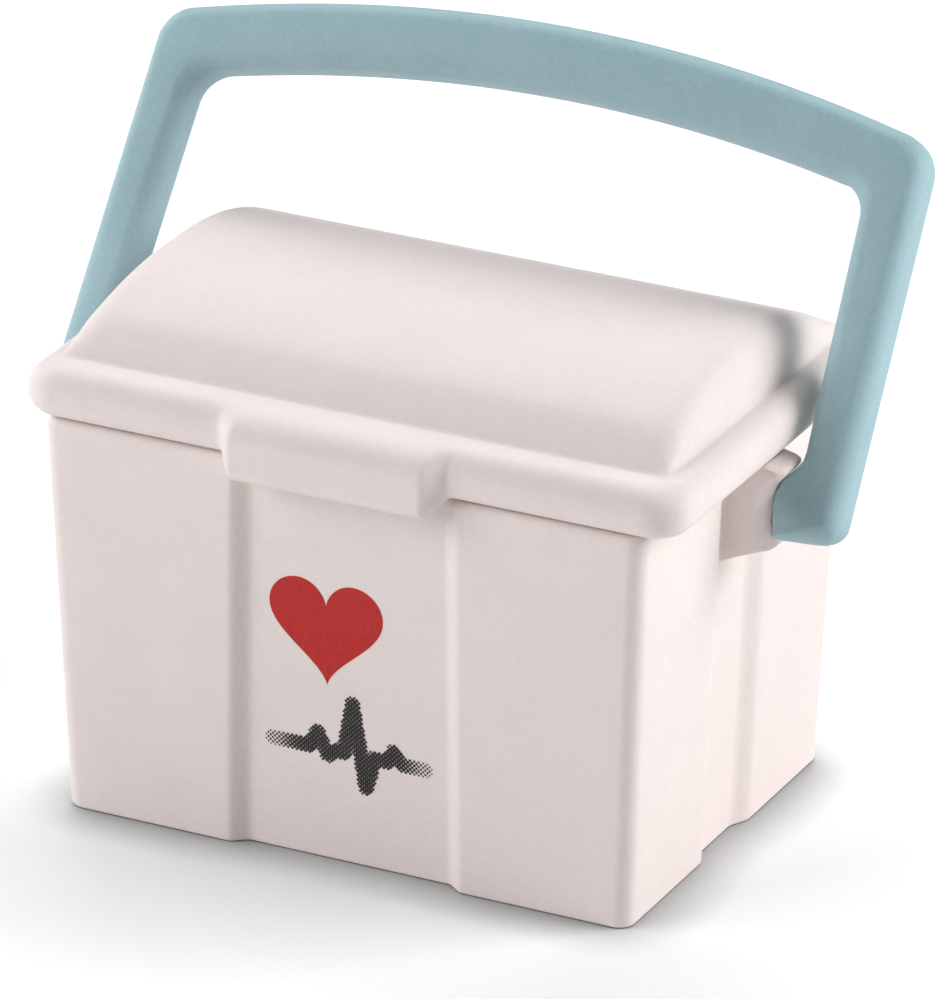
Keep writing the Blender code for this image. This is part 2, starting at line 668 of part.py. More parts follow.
def half_bail(side):
    """Sections of half the bail, from the rounded end of its leg to the bar's crown."""
    outer, inner = handle_rails(side)
    foot_outer_x = LEG_OUTER_X
    foot_inner_x = inner_leg_x(0)
    outer_foot = edge_rounding(HANDLE_FOOT_OUTER_RADIUS, EDGE_STEPS)
    inner_foot = edge_rounding(HANDLE_FOOT_INNER_RADIUS, EDGE_STEPS)
    depth_foot = edge_rounding(HANDLE_DEPTH / 2 - HANDLE_EDGE_RADIUS, EDGE_STEPS)
    rings = []
    for k in range(EDGE_STEPS):
        outer_inset, outer_rise = outer_foot[k]
        inner_inset, inner_rise = inner_foot[k]
        far = (foot_outer_x - outer_inset, outer_rise + HANDLE_FOOT_SLANT - HANDLE_FOOT)
        near = (foot_inner_x + inner_inset, inner_rise - HANDLE_FOOT)
        depth = HANDLE_DEPTH - 2 * FOOT_DEPTH_SHARE * depth_foot[k][0]
        rings.append(handle_section(far, near, depth, side))
    rings += [handle_section(far, near, HANDLE_DEPTH, side) for far, near in zip(outer, inner)]
    return rings


def bail():
    """The handle as moulded, upright, with the pivot at the origin."""
    right = half_bail(1)
    left = half_bail(-1)
    return loft(right + list(reversed(left[:-1])))


def trunnion(side):
    """Stub on a leg's inner face that turns in the lug's bore."""
    tip = lug_nose_x() - TRUNNION_DEPTH
    root = (LEG_INNER_X + LEG_OUTER_X) / 2
    left, right = sorted((side * tip, side * root))
    return rod(left, right, 0, 0, TRUNNION_RADIUS)


def build_handle(blue):
    pivot = (0, PIVOT_Y, PIVOT_HEIGHT)
    lean = (-HANDLE_LEAN, 0, 0)
    handle = new_object("handle", bail(), blue)
    handle.location = pivot
    handle.rotation_euler = lean
    for side, word in ((-1, "left"), (1, "right")):
        stub = helper(word + "_trunnion", trunnion(side), blue)
        stub.location = pivot
        stub.rotation_euler = lean
        combine(handle, stub, "UNION")
    return handle


def main():
    for found in list(bpy.data.objects):
        bpy.data.objects.remove(found, do_unlink=True)
    white = material("white_plastic", WHITE, 0.62, 0.0)
    blue = material("light_blue_plastic", BLUE, 0.55, 0.0)
    steel = material("steel_wire", STEEL, 0.35, 1.0)
    build_body(white)
    build_lid(white)
    build_hinge_pin(steel)
    build_handle(blue)
    bpy.context.view_layer.update()


main()
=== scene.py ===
"""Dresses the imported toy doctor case: moulded mesh pieces, materials, print, stage and camera."""

import json
import math

import bmesh
import bpy
from mathutils import Matrix, Vector


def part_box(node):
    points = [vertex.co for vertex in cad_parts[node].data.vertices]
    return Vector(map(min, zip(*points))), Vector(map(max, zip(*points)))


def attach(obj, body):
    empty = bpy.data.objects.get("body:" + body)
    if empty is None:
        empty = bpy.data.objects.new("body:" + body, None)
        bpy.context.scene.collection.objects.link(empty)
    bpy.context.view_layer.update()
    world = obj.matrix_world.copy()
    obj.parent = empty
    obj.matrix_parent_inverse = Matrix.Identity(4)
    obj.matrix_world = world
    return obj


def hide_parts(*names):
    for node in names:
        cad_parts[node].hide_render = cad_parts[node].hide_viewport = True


bl_info = {
    "name": "Toy doctor case",
    "version": (1, 0, 0),
    "blender": (4, 5, 0),
    "location": "3D View > Sidebar > Doctor case",
    "description": "Builds a figurine's doctor case around its packed solids",
    "category": "Object",
}

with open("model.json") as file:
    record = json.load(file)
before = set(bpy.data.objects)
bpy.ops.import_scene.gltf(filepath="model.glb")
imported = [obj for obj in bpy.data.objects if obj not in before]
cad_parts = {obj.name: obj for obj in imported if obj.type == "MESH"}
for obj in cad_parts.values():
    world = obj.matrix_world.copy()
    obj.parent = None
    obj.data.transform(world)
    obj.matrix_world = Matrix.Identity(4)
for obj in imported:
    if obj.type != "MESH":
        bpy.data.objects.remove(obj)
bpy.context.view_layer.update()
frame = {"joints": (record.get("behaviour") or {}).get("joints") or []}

# Units: every size below is in metres
MM = 0.001

# Outlines and smoothness
CORNER_STEPS = 6  # half of each corner's arc
FREE_STEPS = 5  # between the evenly held middle of a side and its corner
EDGE_STEPS = 8
LUG_EDGE_STEPS = 12
ROUND_STEPS = 32
EDGE_COUNT = 26  # rings from the flange's underside up to its widest line

# Small fixed lengths
TRUNNION_ROOT = 1.2 * MM  # how far a trunnion runs into its leg
BORE_EXTRA = 0.2 * MM  # bore beyond the trunnion's tip
BODY_KNUCKLE_LENGTH = 4 * MM
LID_KNUCKLE_LENGTH = 7 * MM
LIP_FOOT = 0.05 * MM  # how much wider the locating lip is at its root
CEILING_RUN = 1.2 * MM  # from the lip in to where the lid's hollow reaches its full height
ON_EDGE = 0.01 * MM  # how near the front edge a point counts as on it


def joint(name):
    """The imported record's entry for a joint."""
    return next(found for found in frame["joints"] if found["name"] == name)


HINGE_Y, HINGE_Z = joint("lid_hinge")["pos_m"][1:]
PIVOT_Y, PIVOT_Z = joint("handle_pivot")["pos_m"][1:]


# Colour and node helpers


def linear(hex_colour):
    """Linear colour with alpha from an sRGB hex value such as #E0D8D5."""
    channels = []
    for start in (1, 3, 5):
        value = int(hex_colour[start:start + 2], 16) / 255
        channels.append(value / 12.92 if value <= 0.04045 else ((value + 0.055) / 1.055) ** 2.4)
    return (*channels, 1.0)


def add_node(tree, kind, links=(), **settings):
    """Adds a node, sets its properties or input values, and links other sockets to its inputs."""
    node = tree.nodes.new(kind)
    for name, value in settings.items():
        if hasattr(node, name):
            setattr(node, name, value)
        else:
            node.inputs[name.replace("_", " ").title()].default_value = value
    for name, socket in dict(links).items():
        tree.links.new(socket, node.inputs[name])
    return node


def sizes():
    return bpy.context.scene.doctor_case_sizes


def colours():
    return bpy.context.scene.doctor_case_colours


# Outline and loft helpers


def arc(centre, radius, start, end, steps):
    """Points on a circle from one angle to another, in degrees."""
    points = []
    for k in range(steps + 1):
        angle = math.radians(start + (end - start) * k / steps)
        points.append((centre[0] + radius * math.cos(angle), centre[1] + radius * math.sin(angle)))
    return points


def quarter_turn(steps):
    """Pairs (1 - sine, 1 - cosine) for a quarter turn, from (1, 0) to (0, 1)."""
    angles = [math.pi / 2 * k / steps for k in range(steps + 1)]
    return [(1 - math.sin(angle), 1 - math.cos(angle)) for angle in angles]


def smooth_step(value):
    """0 below 0, 1 above 1, and an S curve between."""
    t = min(max(value, 0.0), 1.0)
    return t * t * (3 - 2 * t)


def turned(builder, centre, stations, steps, side=1):
    """Round piece along X, from (place, radius) pairs and a centre (y, z)."""
    rings = []
    for x, radius in stations:
        circle = arc(centre, radius, 0, 360, steps)[:-1]
        rings.append([(side * x, y, z) for y, z in circle])
    builder.loft(rings)


def smooth_max(a, b, width):
    """Larger of two heights, with the crease between them filled to a soft curve."""
    share = max(width - abs(a - b), 0.0) / width
    return max(a, b) + share * share * width / 4


class MeshBuilder:
    """Gathers rings and faces of one mesh."""

    def __init__(self):
        self.bm = bmesh.new()

    def ring(self, points):
        return [self.bm.verts.new(point) for point in points]

    def join(self, lower, upper, closed=True):
        """Band of quads between two rings of equal counts."""
        count = len(lower)
        for k in range(count if closed else count - 1):
            after = (k + 1) % count
            self.bm.faces.new((lower[k], lower[after], upper[after], upper[k]))

    def join_all(self, rows, closed=True):
        """Bands of quads through a list of rings."""
        for lower, upper in zip(rows, rows[1:]):
            self.join(lower, upper, closed)

    def loft(self, rings, cap_start=True, cap_end=True):
        """Skin over rings of points, closed at its ends if asked for."""
        rows = [self.ring(points) for points in rings]
        self.join_all(rows)
        if cap_start:
            self.bm.faces.new(list(reversed(rows[0])))
        if cap_end:
            self.bm.faces.new(rows[-1])
        return rows

    def finish(self, name, material, sharp_angle=50.0, merge=1e-7):
        bmesh.ops.remove_doubles(self.bm, verts=self.bm.verts, dist=merge)
        bmesh.ops.recalc_face_normals(self.bm, faces=self.bm.faces)
        mesh = bpy.data.meshes.new(name)
        self.bm.to_mesh(mesh)
        self.bm.free()
        mesh.materials.append(material)
        for polygon in mesh.polygons:
            polygon.use_smooth = True
        mesh.set_sharp_from_angle(angle=math.radians(sharp_angle))
        made = bpy.data.objects.new(name, mesh)
        bpy.context.scene.collection.objects.link(made)
        return made


def held_places(edge, reach, spread, coarse, fine):
    """Places from -reach to +reach that crowd around plus and minus edge."""
    half = [0.0]
    inner, outer = edge - spread, edge + spread
    half += [inner * k / coarse for k in range(1, coarse + 1)]
    half += [inner + (outer - inner) * k / fine for k in range(1, fine + 1)]
    half += [outer + (reach - outer) * k / coarse for k in range(1, coarse + 1)]
    return [-place for place in reversed(half[1:])] + half


def side_points(places, reach, straight, corner):
    """Points along one side as (place, drop) where drop is how far the corner has turned in.

    The held places stay put, the free points spread to the end of the straight part, and the
    last ones turn half of each round corner.
    """
    run = [(place, 0.0) for place in places]
    ahead = []
    for k in range(1, FREE_STEPS + 1):
        ahead.append((reach + (straight - reach) * k / FREE_STEPS, 0.0))
    for k in range(1, CORNER_STEPS + 1):
        angle = math.pi / 4 * k / CORNER_STEPS
        ahead.append((straight + corner * math.sin(angle), corner * (1 - math.cos(angle))))
    behind = [(-place, drop) for place, drop in reversed(ahead)]
    return behind + run + ahead


# Held places along the sides: dense where the panel steps and the tab's ends are
LONG_REACH = 8.6 * MM
SHORT_REACH = 4.6 * MM
LONG_PLACES = held_places(5.3 * MM, LONG_REACH, 1.3 * MM, 8, 28)
SHORT_PLACES = held_places(1.95 * MM, SHORT_REACH, 1.0 * MM, 5, 12)


def outline(left, right, front, back, corner, push=None):
    """Rounded rectangle as a ring, anticlockwise from the front left corner's middle.

    push(side, place) says how far inward a point moves, for the sunk panels.
    """
    push = push or (lambda side, place: 0.0)
    mid_x, mid_y = (left + right) / 2, (front + back) / 2
    half_x, half_y = (right - left) / 2, (back - front) / 2
    long_side = side_points(LONG_PLACES, LONG_REACH, half_x - corner, corner)
    short_side = side_points(SHORT_PLACES, SHORT_REACH, half_y - corner, corner)
    points = []
    for place, drop in long_side[:-1]:
        points.append((mid_x + place, front + drop + push("front", mid_x + place)))
    for place, drop in short_side[:-1]:
        points.append((right - drop - push("right", mid_y + place), mid_y + place))
    for place, drop in long_side[:-1]:
        points.append((mid_x - place, back - drop - push("back", mid_x - place)))
    for place, drop in short_side[:-1]:
        points.append((left + drop + push("left", mid_y - place), mid_y - place))
    return points


def shrunk(left, right, front, back, inset):
    """Rectangle brought in on all sides."""
    return left + inset, right - inset, front + inset, back - inset


def grid_cap(builder, rim, height):
    """Closes a ring of outline() with a grid of quads at height(x, y)."""
    columns = 2 * (FREE_STEPS + CORNER_STEPS) + len(LONG_PLACES) - 1
    rows = 2 * (FREE_STEPS + CORNER_STEPS) + len(SHORT_PLACES) - 1
    front = rim[:columns + 1]
    right = rim[columns:columns + rows + 1]
    back = list(reversed(rim[columns + rows:2 * columns + rows + 1]))
    left = list(reversed(rim[2 * columns + rows:] + [rim[0]]))
    grid = [front]
    corners = front[0].co, front[-1].co, back[0].co, back[-1].co
    for j in range(1, rows):
        row = [left[j]]
        v = (left[j].co.y - left[0].co.y) / (left[rows].co.y - left[0].co.y)
        for i in range(1, columns):
            u = (front[i].co.x - front[0].co.x) / (front[columns].co.x - front[0].co.x)
            along = front[i].co * (1 - v) + back[i].co * v
            across = left[j].co * (1 - u) + right[j].co * u
            low = corners[0] * (1 - u) + corners[1] * u
            high = corners[2] * (1 - u) + corners[3] * u
            place = along + across - low * (1 - v) - high * v
            row.append(builder.bm.verts.new((place.x, place.y, height(place.x, place.y))))
        row.append(right[j])
        grid.append(row)
    grid.append(back)
    builder.join_all(grid, closed=False)


# Case body


def wall_lean(height):
    """How far the walls have come in at a height, against the rim."""
    size = sizes()
    return size.wall_slope * (size.rim_height - height)


def panel_push(height, share):
    """Sunk panels of the four walls, as a push for outline().

    The front's left step leans: its middle moves outward towards the foot.
    """
    size = sizes()
    half_long = size.front_panel_length / 2
    half_short = size.side_panel_length / 2
    up = height / size.rim_height
    left_in = size.left_step_shift * up + size.left_step_foot_shift * (1 - up)

    def within(away, half, step):
        return smooth_step((half + step / 2 - away) / step)

    def push(side, place):
        if side == "front":
            half = half_long - (left_in if place < 0 else 0.0)
            return share * size.front_panel_depth * within(abs(place), half, size.step_width)
        if side == "back":
            return share * size.front_panel_depth * within(abs(place), half_long, size.step_width)
        away = place - PIVOT_Y
        if away > 0:
            half, step = half_short + size.rear_step_shift, size.rear_step_width
            return share * size.side_panel_depth * within(away, half, step)
        return share * size.side_panel_depth * within(-away, half_short, size.step_width)

    return push


def body_ring(height, inset, corner, share):
    """Ring of the body at a height; share is how much of the sunk panels it has."""
    size = sizes()
    half_x = size.rim_length / 2 - wall_lean(height) - inset
    half_y = size.rim_depth / 2 - wall_lean(height) - inset
    points = outline(-half_x, half_x, -half_y, half_y, corner, panel_push(height, share))
    return [(x, y, height) for x, y in points]


def build_case_shell(material):
    """Open-topped box with sunk panels, a soft rim and a rounded inside."""
    size = sizes()
    foot, rim, inner = size.foot_radius, size.rim_radius, size.inner_rim_radius
    wall, floor, fillet = size.wall_thickness, size.floor_thickness, size.floor_fillet
    builder = MeshBuilder()
    rings = []
    corner, inner_corner, top = size.corner_radius, size.inner_corner_radius, size.rim_height
    turn = quarter_turn(EDGE_STEPS)
    rings += [body_ring(foot * b, foot * a, corner - foot * a, 1) for a, b in turn]
    rings += [body_ring(top * share, 0, corner, 1) for share in (0.25, 0.5, 0.75)]
    rings += [body_ring(top - rim * a, rim * b, corner - rim * b, 1) for a, b in turn]
    rings += [body_ring(top - inner * b, wall - inner * a, inner_corner, 0) for a, b in turn]
    rings += [body_ring(top * share, wall, inner_corner, 0) for share in (0.75, 0.5, 0.25)]
    rings += [body_ring(floor + fillet * a, wall + fillet * b, inner_corner, 0) for a, b in turn]
    rows = builder.loft(rings, cap_start=False, cap_end=False)
    grid_cap(builder, rows[-1], lambda x, y: floor)
    grid_cap(builder, rows[0], lambda x, y: 0.0)
    return builder.finish("case_shell", material)


def lid_clear_x(height):
    """Inner limit of a lug's top, clear of the lid's rounded lower edge."""
    size = sizes()
    reach = size.flange_lower_radius + size.lid_gap
    below = min(size.rim_height + size.lid_gap + size.flange_lower_radius - height, reach)
    lid_end = size.rim_length / 2 + size.flange_side_overhang + size.lid_shift
    return lid_end - size.flange_lower_radius + math.sqrt(max(reach ** 2 - below ** 2, 0.0))


def lug_face():
    """How far a lug's outer face is from the middle."""
    size = sizes()
    return size.rim_length / 2 - wall_lean(PIVOT_Z) - size.side_panel_depth + size.lug_reach


def soft_chamfer(centre, radius, start, steps):
    """Quarter turn that runs flatter than an arc in its middle."""
    points = []
    for k in range(steps + 1):
        angle = math.pi / 2 * k / steps
        ahead, aside = math.cos(angle) ** 1.5, math.sin(angle) ** 1.5
        turn = math.radians(start)
        x = ahead * math.cos(turn) - aside * math.sin(turn)
        y = ahead * math.sin(turn) + aside * math.cos(turn)
        points.append((centre[0] + radius * x, centre[1] + radius * y))
    return points


def lug_ring(side, root, face, half_width, height, edge, fillet):
    """Horizontal section of a lug: fillets at the wall, soft chamfers outside."""
    edge = min(edge, 0.98 * half_width, max(face - root - fillet, edge * 0.2))
    points = [(root, -half_width - fillet)]
    points += arc((root + 2 * fillet, -half_width - fillet), fillet, 180, 90, 6)[1:]
    points += soft_chamfer((face - edge, edge - half_width), edge, -90, LUG_EDGE_STEPS)
    points += soft_chamfer((face - edge, half_width - edge), edge, 0, LUG_EDGE_STEPS)
    points += arc((root + 2 * fillet, half_width + fillet), fillet, -90, -180, 6)[:-1]
    points.append((root, half_width + fillet))
    return [(side * x, PIVOT_Y + y, height) for x, y in points]


# Underside of a lug, lowest first: millimetres over the pivot, share of the lug's reach and
# share of its edges' chamfer
LUG_UNDERSIDE = (
    (-2.15, 0.0, 0.1), (-2.0, 0.14, 0.2), (-1.8, 0.35, 0.2), (-1.6, 0.57, 0.2), (-1.5, 0.68, 0.24),
    (-1.465, 0.74, 0.36), (-1.45, 0.82, 0.56), (-1.43, 0.90, 0.78), (-1.40, 0.955, 0.9),
    (-1.34, 0.985, 0.97), (-1.25, 1.0, 1.0), (-0.8, 1.0, 1.0), (0.0, 1.0, 1.0), (0.8, 1.0, 1.0),
)
# Top of a lug, lowest first: millimetres over the rim and share of the flare
LUG_TOP = (
    (-1.05, 0.02), (-0.95, 0.05), (-0.85, 0.14), (-0.75, 0.26), (-0.65, 0.40), (-0.55, 0.56),
    (-0.45, 0.72), (-0.35, 0.84), (-0.25, 0.94), (-0.17, 0.98), (-0.1, 0.97), (-0.05, 0.90),
    (0.0, 0.76), (0.04, 0.55), (0.07, 0.3), (0.09, 0.05), (0.105, -0.22),
)


def build_lug(side, word, material):
    """Pivot lug: a block on the sunk panel, its underside sloping up, its top flared outward."""
    size = sizes()
    panel = size.rim_length / 2 - size.side_panel_depth
    reach = size.lug_reach
    face = lug_face()
    shelf = size.rim_height - size.lid_gap
    half = size.lug_width / 2
    levels = [(PIVOT_Z + up * MM, share, 0.0, edge) for up, share, edge in LUG_UNDERSIDE]
    levels += [(size.rim_height + up * MM, 1.0, flare, 1 - 0.6 * max(flare, 0)) for up, flare in LUG_TOP]
    rings = []
    for height, share, flare, edge in levels:
        free = height > shelf + 1e-9
        fillet = 0.0 if free else size.lug_fillet * smooth_step(4 * share)
        root = lid_clear_x(height) if free else panel - wall_lean(height) - fillet
        outer = face - reach * (1 - share) + size.lug_flare * flare
        outer = max(outer, root + 0.06 * MM)
        rings.append(lug_ring(side, root, outer, half, height, size.lug_edge * edge, fillet))
    builder = MeshBuilder()
    builder.loft(rings)
    lug = builder.finish("lug_" + word, material, 60)
    cut_bore(lug, side, face)
    return lug


def cut_bore(lug, side, face):
    """Sinks the trunnion's blind bore into a lug."""
    size = sizes()
    radius = size.trunnion_radius + size.trunnion_clearance
    end = face - size.trunnion_depth - BORE_EXTRA
    mouth = face + size.lug_flare + 1 * MM
    builder = MeshBuilder()
    turned(builder, (PIVOT_Y, PIVOT_Z), ((end, radius), (mouth, radius)), ROUND_STEPS, side)
    cutter = builder.finish("bore_cutter", lug.data.materials[0])
    modifier = lug.modifiers.new("bore", "BOOLEAN")
    modifier.operation = "DIFFERENCE"
    modifier.solver = "EXACT"
    modifier.object = cutter
    apply_modifiers(lug)
    bpy.data.objects.remove(cutter, do_unlink=True)


def apply_modifiers(target):
    """Bakes a piece's modifiers into its mesh."""
    bpy.context.view_layer.update()
    evaluated = target.evaluated_get(bpy.context.evaluated_depsgraph_get())
    mesh = bpy.data.meshes.new_from_object(evaluated)
    target.modifiers.clear()
    old = target.data
    target.data = mesh
    bpy.data.meshes.remove(old)


def knuckle(name, left, right, anchor, material):
    """Hinge barrel with a web to two anchor points (y, z), as a rounded prism along X."""
    size = sizes()
    radius = size.barrel_radius
    upper, lower = anchor
    outline_yz = arc((HINGE_Y, HINGE_Z), radius, -130, 130, 32) + [upper, lower]
    centre_y = sum(y for y, z in outline_yz) / len(outline_yz)
    centre_z = sum(z for y, z in outline_yz) / len(outline_yz)
    round_off = size.barrel_end_radius
    turn = quarter_turn(4)
    stations = [(left + round_off * b, round_off * a) for a, b in turn]
    stations += [(right - round_off * a, round_off * b) for a, b in turn]
    rings = []
    for x, inset in stations:
        ring = []
        for y, z in outline_yz:
            away = Vector((y - centre_y, z - centre_z))
            away -= away.normalized() * inset
            ring.append((x, centre_y + away.x, centre_z + away.y))
        rings.append(ring)
    builder = MeshBuilder()
    builder.loft(rings)
    return builder.finish(name, material, 40)


# Lid


def edge_inset(x, y, left, right, front, back, corner):
    """Distance of a place inside a rounded rectangle from its outline."""
    mid_x, mid_y = (left + right) / 2, (front + back) / 2
    over_x = abs(x - mid_x) - ((right - left) / 2 - corner)
    over_y = abs(y - mid_y) - ((back - front) / 2 - corner)
    if over_x > 0 and over_y > 0:
        return corner - math.hypot(over_x, over_y)
    return corner - max(over_x, over_y)


def lid_plan():
    """Left, right, front and back of the lid's flange."""
    size = sizes()
    half = size.rim_length / 2 + size.flange_side_overhang
    front = -(size.rim_depth / 2 + size.flange_front_overhang)
    return size.lid_shift - half, size.lid_shift + half, front, size.rim_depth / 2


def tab_share(x, softness=0.0):
    """1 on the latch tab, 0 beside it, with ends that get softer towards the lid's top."""
    size = sizes()
    half = size.tab_length / 2
    if x < 0:
        blend = size.tab_left_blend * (1 + softness)
        return 1 - smooth_step((-x - half + size.tab_left_inset) / blend + 0.5)
    away = x - half + size.tab_right_inset
    return 1 - smooth_step(away / (size.tab_right_blend * (1 + 0.5 * softness)) + 0.5)


def flange_top_height(inset):
    """Height of the flange's upper side, which rounds down to its edge."""
    size = sizes()
    top = size.rim_height + size.lid_gap + size.flange_height
    radius = size.flange_upper_radius
    if inset >= radius:
        return top
    drop = radius - max(inset, 0.0)
    return top - radius + math.sqrt(max(radius ** 2 - drop ** 2, 0.0))


def dome_height(x, y):
    """Height of the dome alone; far below the flange outside its foot."""
    size = sizes()
    left, right, front, back = lid_plan()
    half = (right - left) / 2 - size.dome_end_ledge
    foot = size.rim_height + size.lid_gap + size.flange_height
    reach = back - size.dome_back_ledge if y > 0 else -(front + size.dome_front_ledge)
    y_share = abs(y) / reach
    x_share = abs(x - size.dome_centre) / half
    radius_share = size.dome_end_radius / half
    into_end = max((x_share - 1) / radius_share + 1, 0.0)
    ahead = front + size.dome_front_foot - y
    if into_end >= 1 or y_share >= 1 or ahead >= 0:
        outside = max((into_end - 1) * size.dome_end_radius, (y_share - 1) * reach, ahead, 0.0)
        return foot - 1.2 * outside - 0.02 * MM
    arch = 1 - y_share ** size.dome_power
    if -ahead < size.dome_front_run:
        arch *= (1 - (1 + ahead / size.dome_front_run) ** 2) ** 0.7
    end = (1 - into_end ** size.dome_end_power) ** (1 / size.dome_end_power)
    return foot + size.dome_rise * arch * end


def lid_top(x, y):
    """Height of the lid's upper surface anywhere inside the flange's outline."""
    size = sizes()
    plan = lid_plan()
    plain = flange_top_height(edge_inset(x, y, *plan, size.flange_corner_radius))
    return smooth_max(plain, dome_height(x, y), size.crease_fill)


def profile_points(corners, radii, steps):
    """Points along a path of straight runs with rounded corners."""
    points = [corners[0]]
    for k in range(1, len(corners) - 1):
        before, here, after = (Vector(corners[k + d]) for d in (-1, 0, 1))
        back, ahead = (before - here).normalized(), (after - here).normalized()
        half = math.acos(max(-1.0, min(1.0, back.dot(ahead)))) / 2
        run = radii[k - 1] / math.tan(half)
        start, end = here + back * run, here + ahead * run
        centre = here + (back + ahead).normalized() * radii[k - 1] / math.sin(half)
        first = math.atan2(start.y - centre.y, start.x - centre.x)
        turn = math.atan2(end.y - centre.y, end.x - centre.x) - first
        turn = (turn + math.pi) % (2 * math.pi) - math.pi
        for j in range(steps + 1):
            angle = first + turn * j / steps
            reach = (start - centre).length
            points.append((centre.x + reach * math.cos(angle), centre.y + reach * math.sin(angle)))
    points.append(corners[-1])
    return points


def resample(points, count):
    """The same path with evenly spaced points."""
    lengths = [0.0]
    for a, b in zip(points, points[1:]):
        lengths.append(lengths[-1] + math.dist(a, b))
    out = []
    for k in range(count):
        want = lengths[-1] * k / (count - 1)
        i = max(j for j in range(len(lengths)) if lengths[j] <= want + 1e-12)
        i = min(i, len(points) - 2)
        run = lengths[i + 1] - lengths[i]
        share = (want - lengths[i]) / run if run else 0.0
        a, b = points[i], points[i + 1]
        out.append((a[0] + (b[0] - a[0]) * share, a[1] + (b[1] - a[1]) * share))
    return out


def lid_edge_profiles():
    """Plain and tab paths as (inset, height), from the underside to the widest line."""
    size = sizes()
    under = size.rim_height + size.lid_gap
    low = size.flange_lower_radius
    start = (1.3 * MM, under)
    plain = [start] + arc((low, under + low), low, -90, -180, EDGE_COUNT)
    gap_inset = size.flange_front_overhang - size.tab_wall_gap
    tab_bottom = under - size.tab_drop
    widest = under + low
    corners = [start, (gap_inset, under), (gap_inset, tab_bottom), (-size.tab_reach, tab_bottom),
               (-size.tab_reach, widest)]
    tab = profile_points(corners, (0.15 * MM, 0.2 * MM, size.tab_edge_radius), 8)
    return resample(plain, EDGE_COUNT), resample(tab, EDGE_COUNT)


def lid_edge_ring(plain, tab):
    """Ring of the flange's edge between its plain and its tab profile."""
    size = sizes()
    plan = lid_plan()
    inset, height = plain
    corner = max(size.flange_corner_radius - inset, 0.3 * MM)
    points = []
    for x, y in outline(*shrunk(*plan, inset), corner):
        z = height
        if y < plan[2] + inset + ON_EDGE:
            share = tab_share(x)
            y += (tab[0] - inset) * share
            z += (tab[1] - height) * share
        points.append((x, y, z))
    return points


def build_lid_shell(material):
    """Lid with its bull-nosed flange, latch tab, dome, locating lip and hollow underside."""
    size = sizes()
    plan = lid_plan()
    under = size.rim_height + size.lid_gap
    lip_x = size.rim_length / 2 - size.wall_thickness - size.lip_side_clearance
    lip_y = size.rim_depth / 2 - size.wall_thickness - size.lip_clearance
    lip = (size.lid_shift - lip_x, size.lid_shift + lip_x, -lip_y, lip_y)
    thick, soft, inner_corner = size.lip_thickness, size.lip_edge_radius, size.inner_corner_radius

    def ceiling(x, y):
        return max(lid_top(x, y) - size.lid_thickness, under + 0.3 * MM)

    builder = MeshBuilder()
    rings = []
    lip_path = [(0.0, under), (0.02 * MM, under - size.lip_depth), (thick, under - size.lip_depth),
                (thick + LIP_FOOT, under)]
    for inset, height in profile_points(lip_path, (soft, soft), 6):
        rings.append([(x, y, height) for x, y in outline(*shrunk(*lip, inset), inner_corner)])
    inner = builder.loft(list(reversed(rings)), cap_start=False, cap_end=False)
    steps_in = []
    for k in range(1, 9):
        inset = thick + LIP_FOOT + CEILING_RUN * k / 8
        share = smooth_step(k / 8)
        steps_in.append(builder.ring([(x, y, under + (ceiling(x, y) - under) * share)
                                      for x, y in outline(*shrunk(*lip, inset), inner_corner)]))
    builder.join_all([inner[0]] + steps_in)
    grid_cap(builder, steps_in[-1], ceiling)

    edge = [builder.ring(lid_edge_ring(a, b)) for a, b in zip(*lid_edge_profiles())]
    builder.join_all([inner[-1]] + edge)

    top = [edge[-1]]
    radius = size.flange_upper_radius
    insets = [radius * b for _, b in quarter_turn(12)]
    insets += [radius + 0.1 * MM * k for k in range(1, 26)]
    for inset in insets:
        corner = size.flange_corner_radius * (1 - 0.85 * inset / insets[-1])
        fade = max(1 - inset / (radius + size.tab_fade), 0.0)
        ring = []
        for x, y in outline(*shrunk(*plan, inset), corner):
            if y < plan[2] + inset + ON_EDGE:
                y -= tab_share(x, min(inset / radius, 1.0)) * size.tab_reach * fade
            z = smooth_max(flange_top_height(inset), dome_height(x, y), size.crease_fill)
            ring.append((x, y, z))
        top.append(builder.ring(ring))
    builder.join_all(top)
    grid_cap(builder, top[-1], lid_top)
    return builder.finish("lid_shell", material, 75)


# Handle


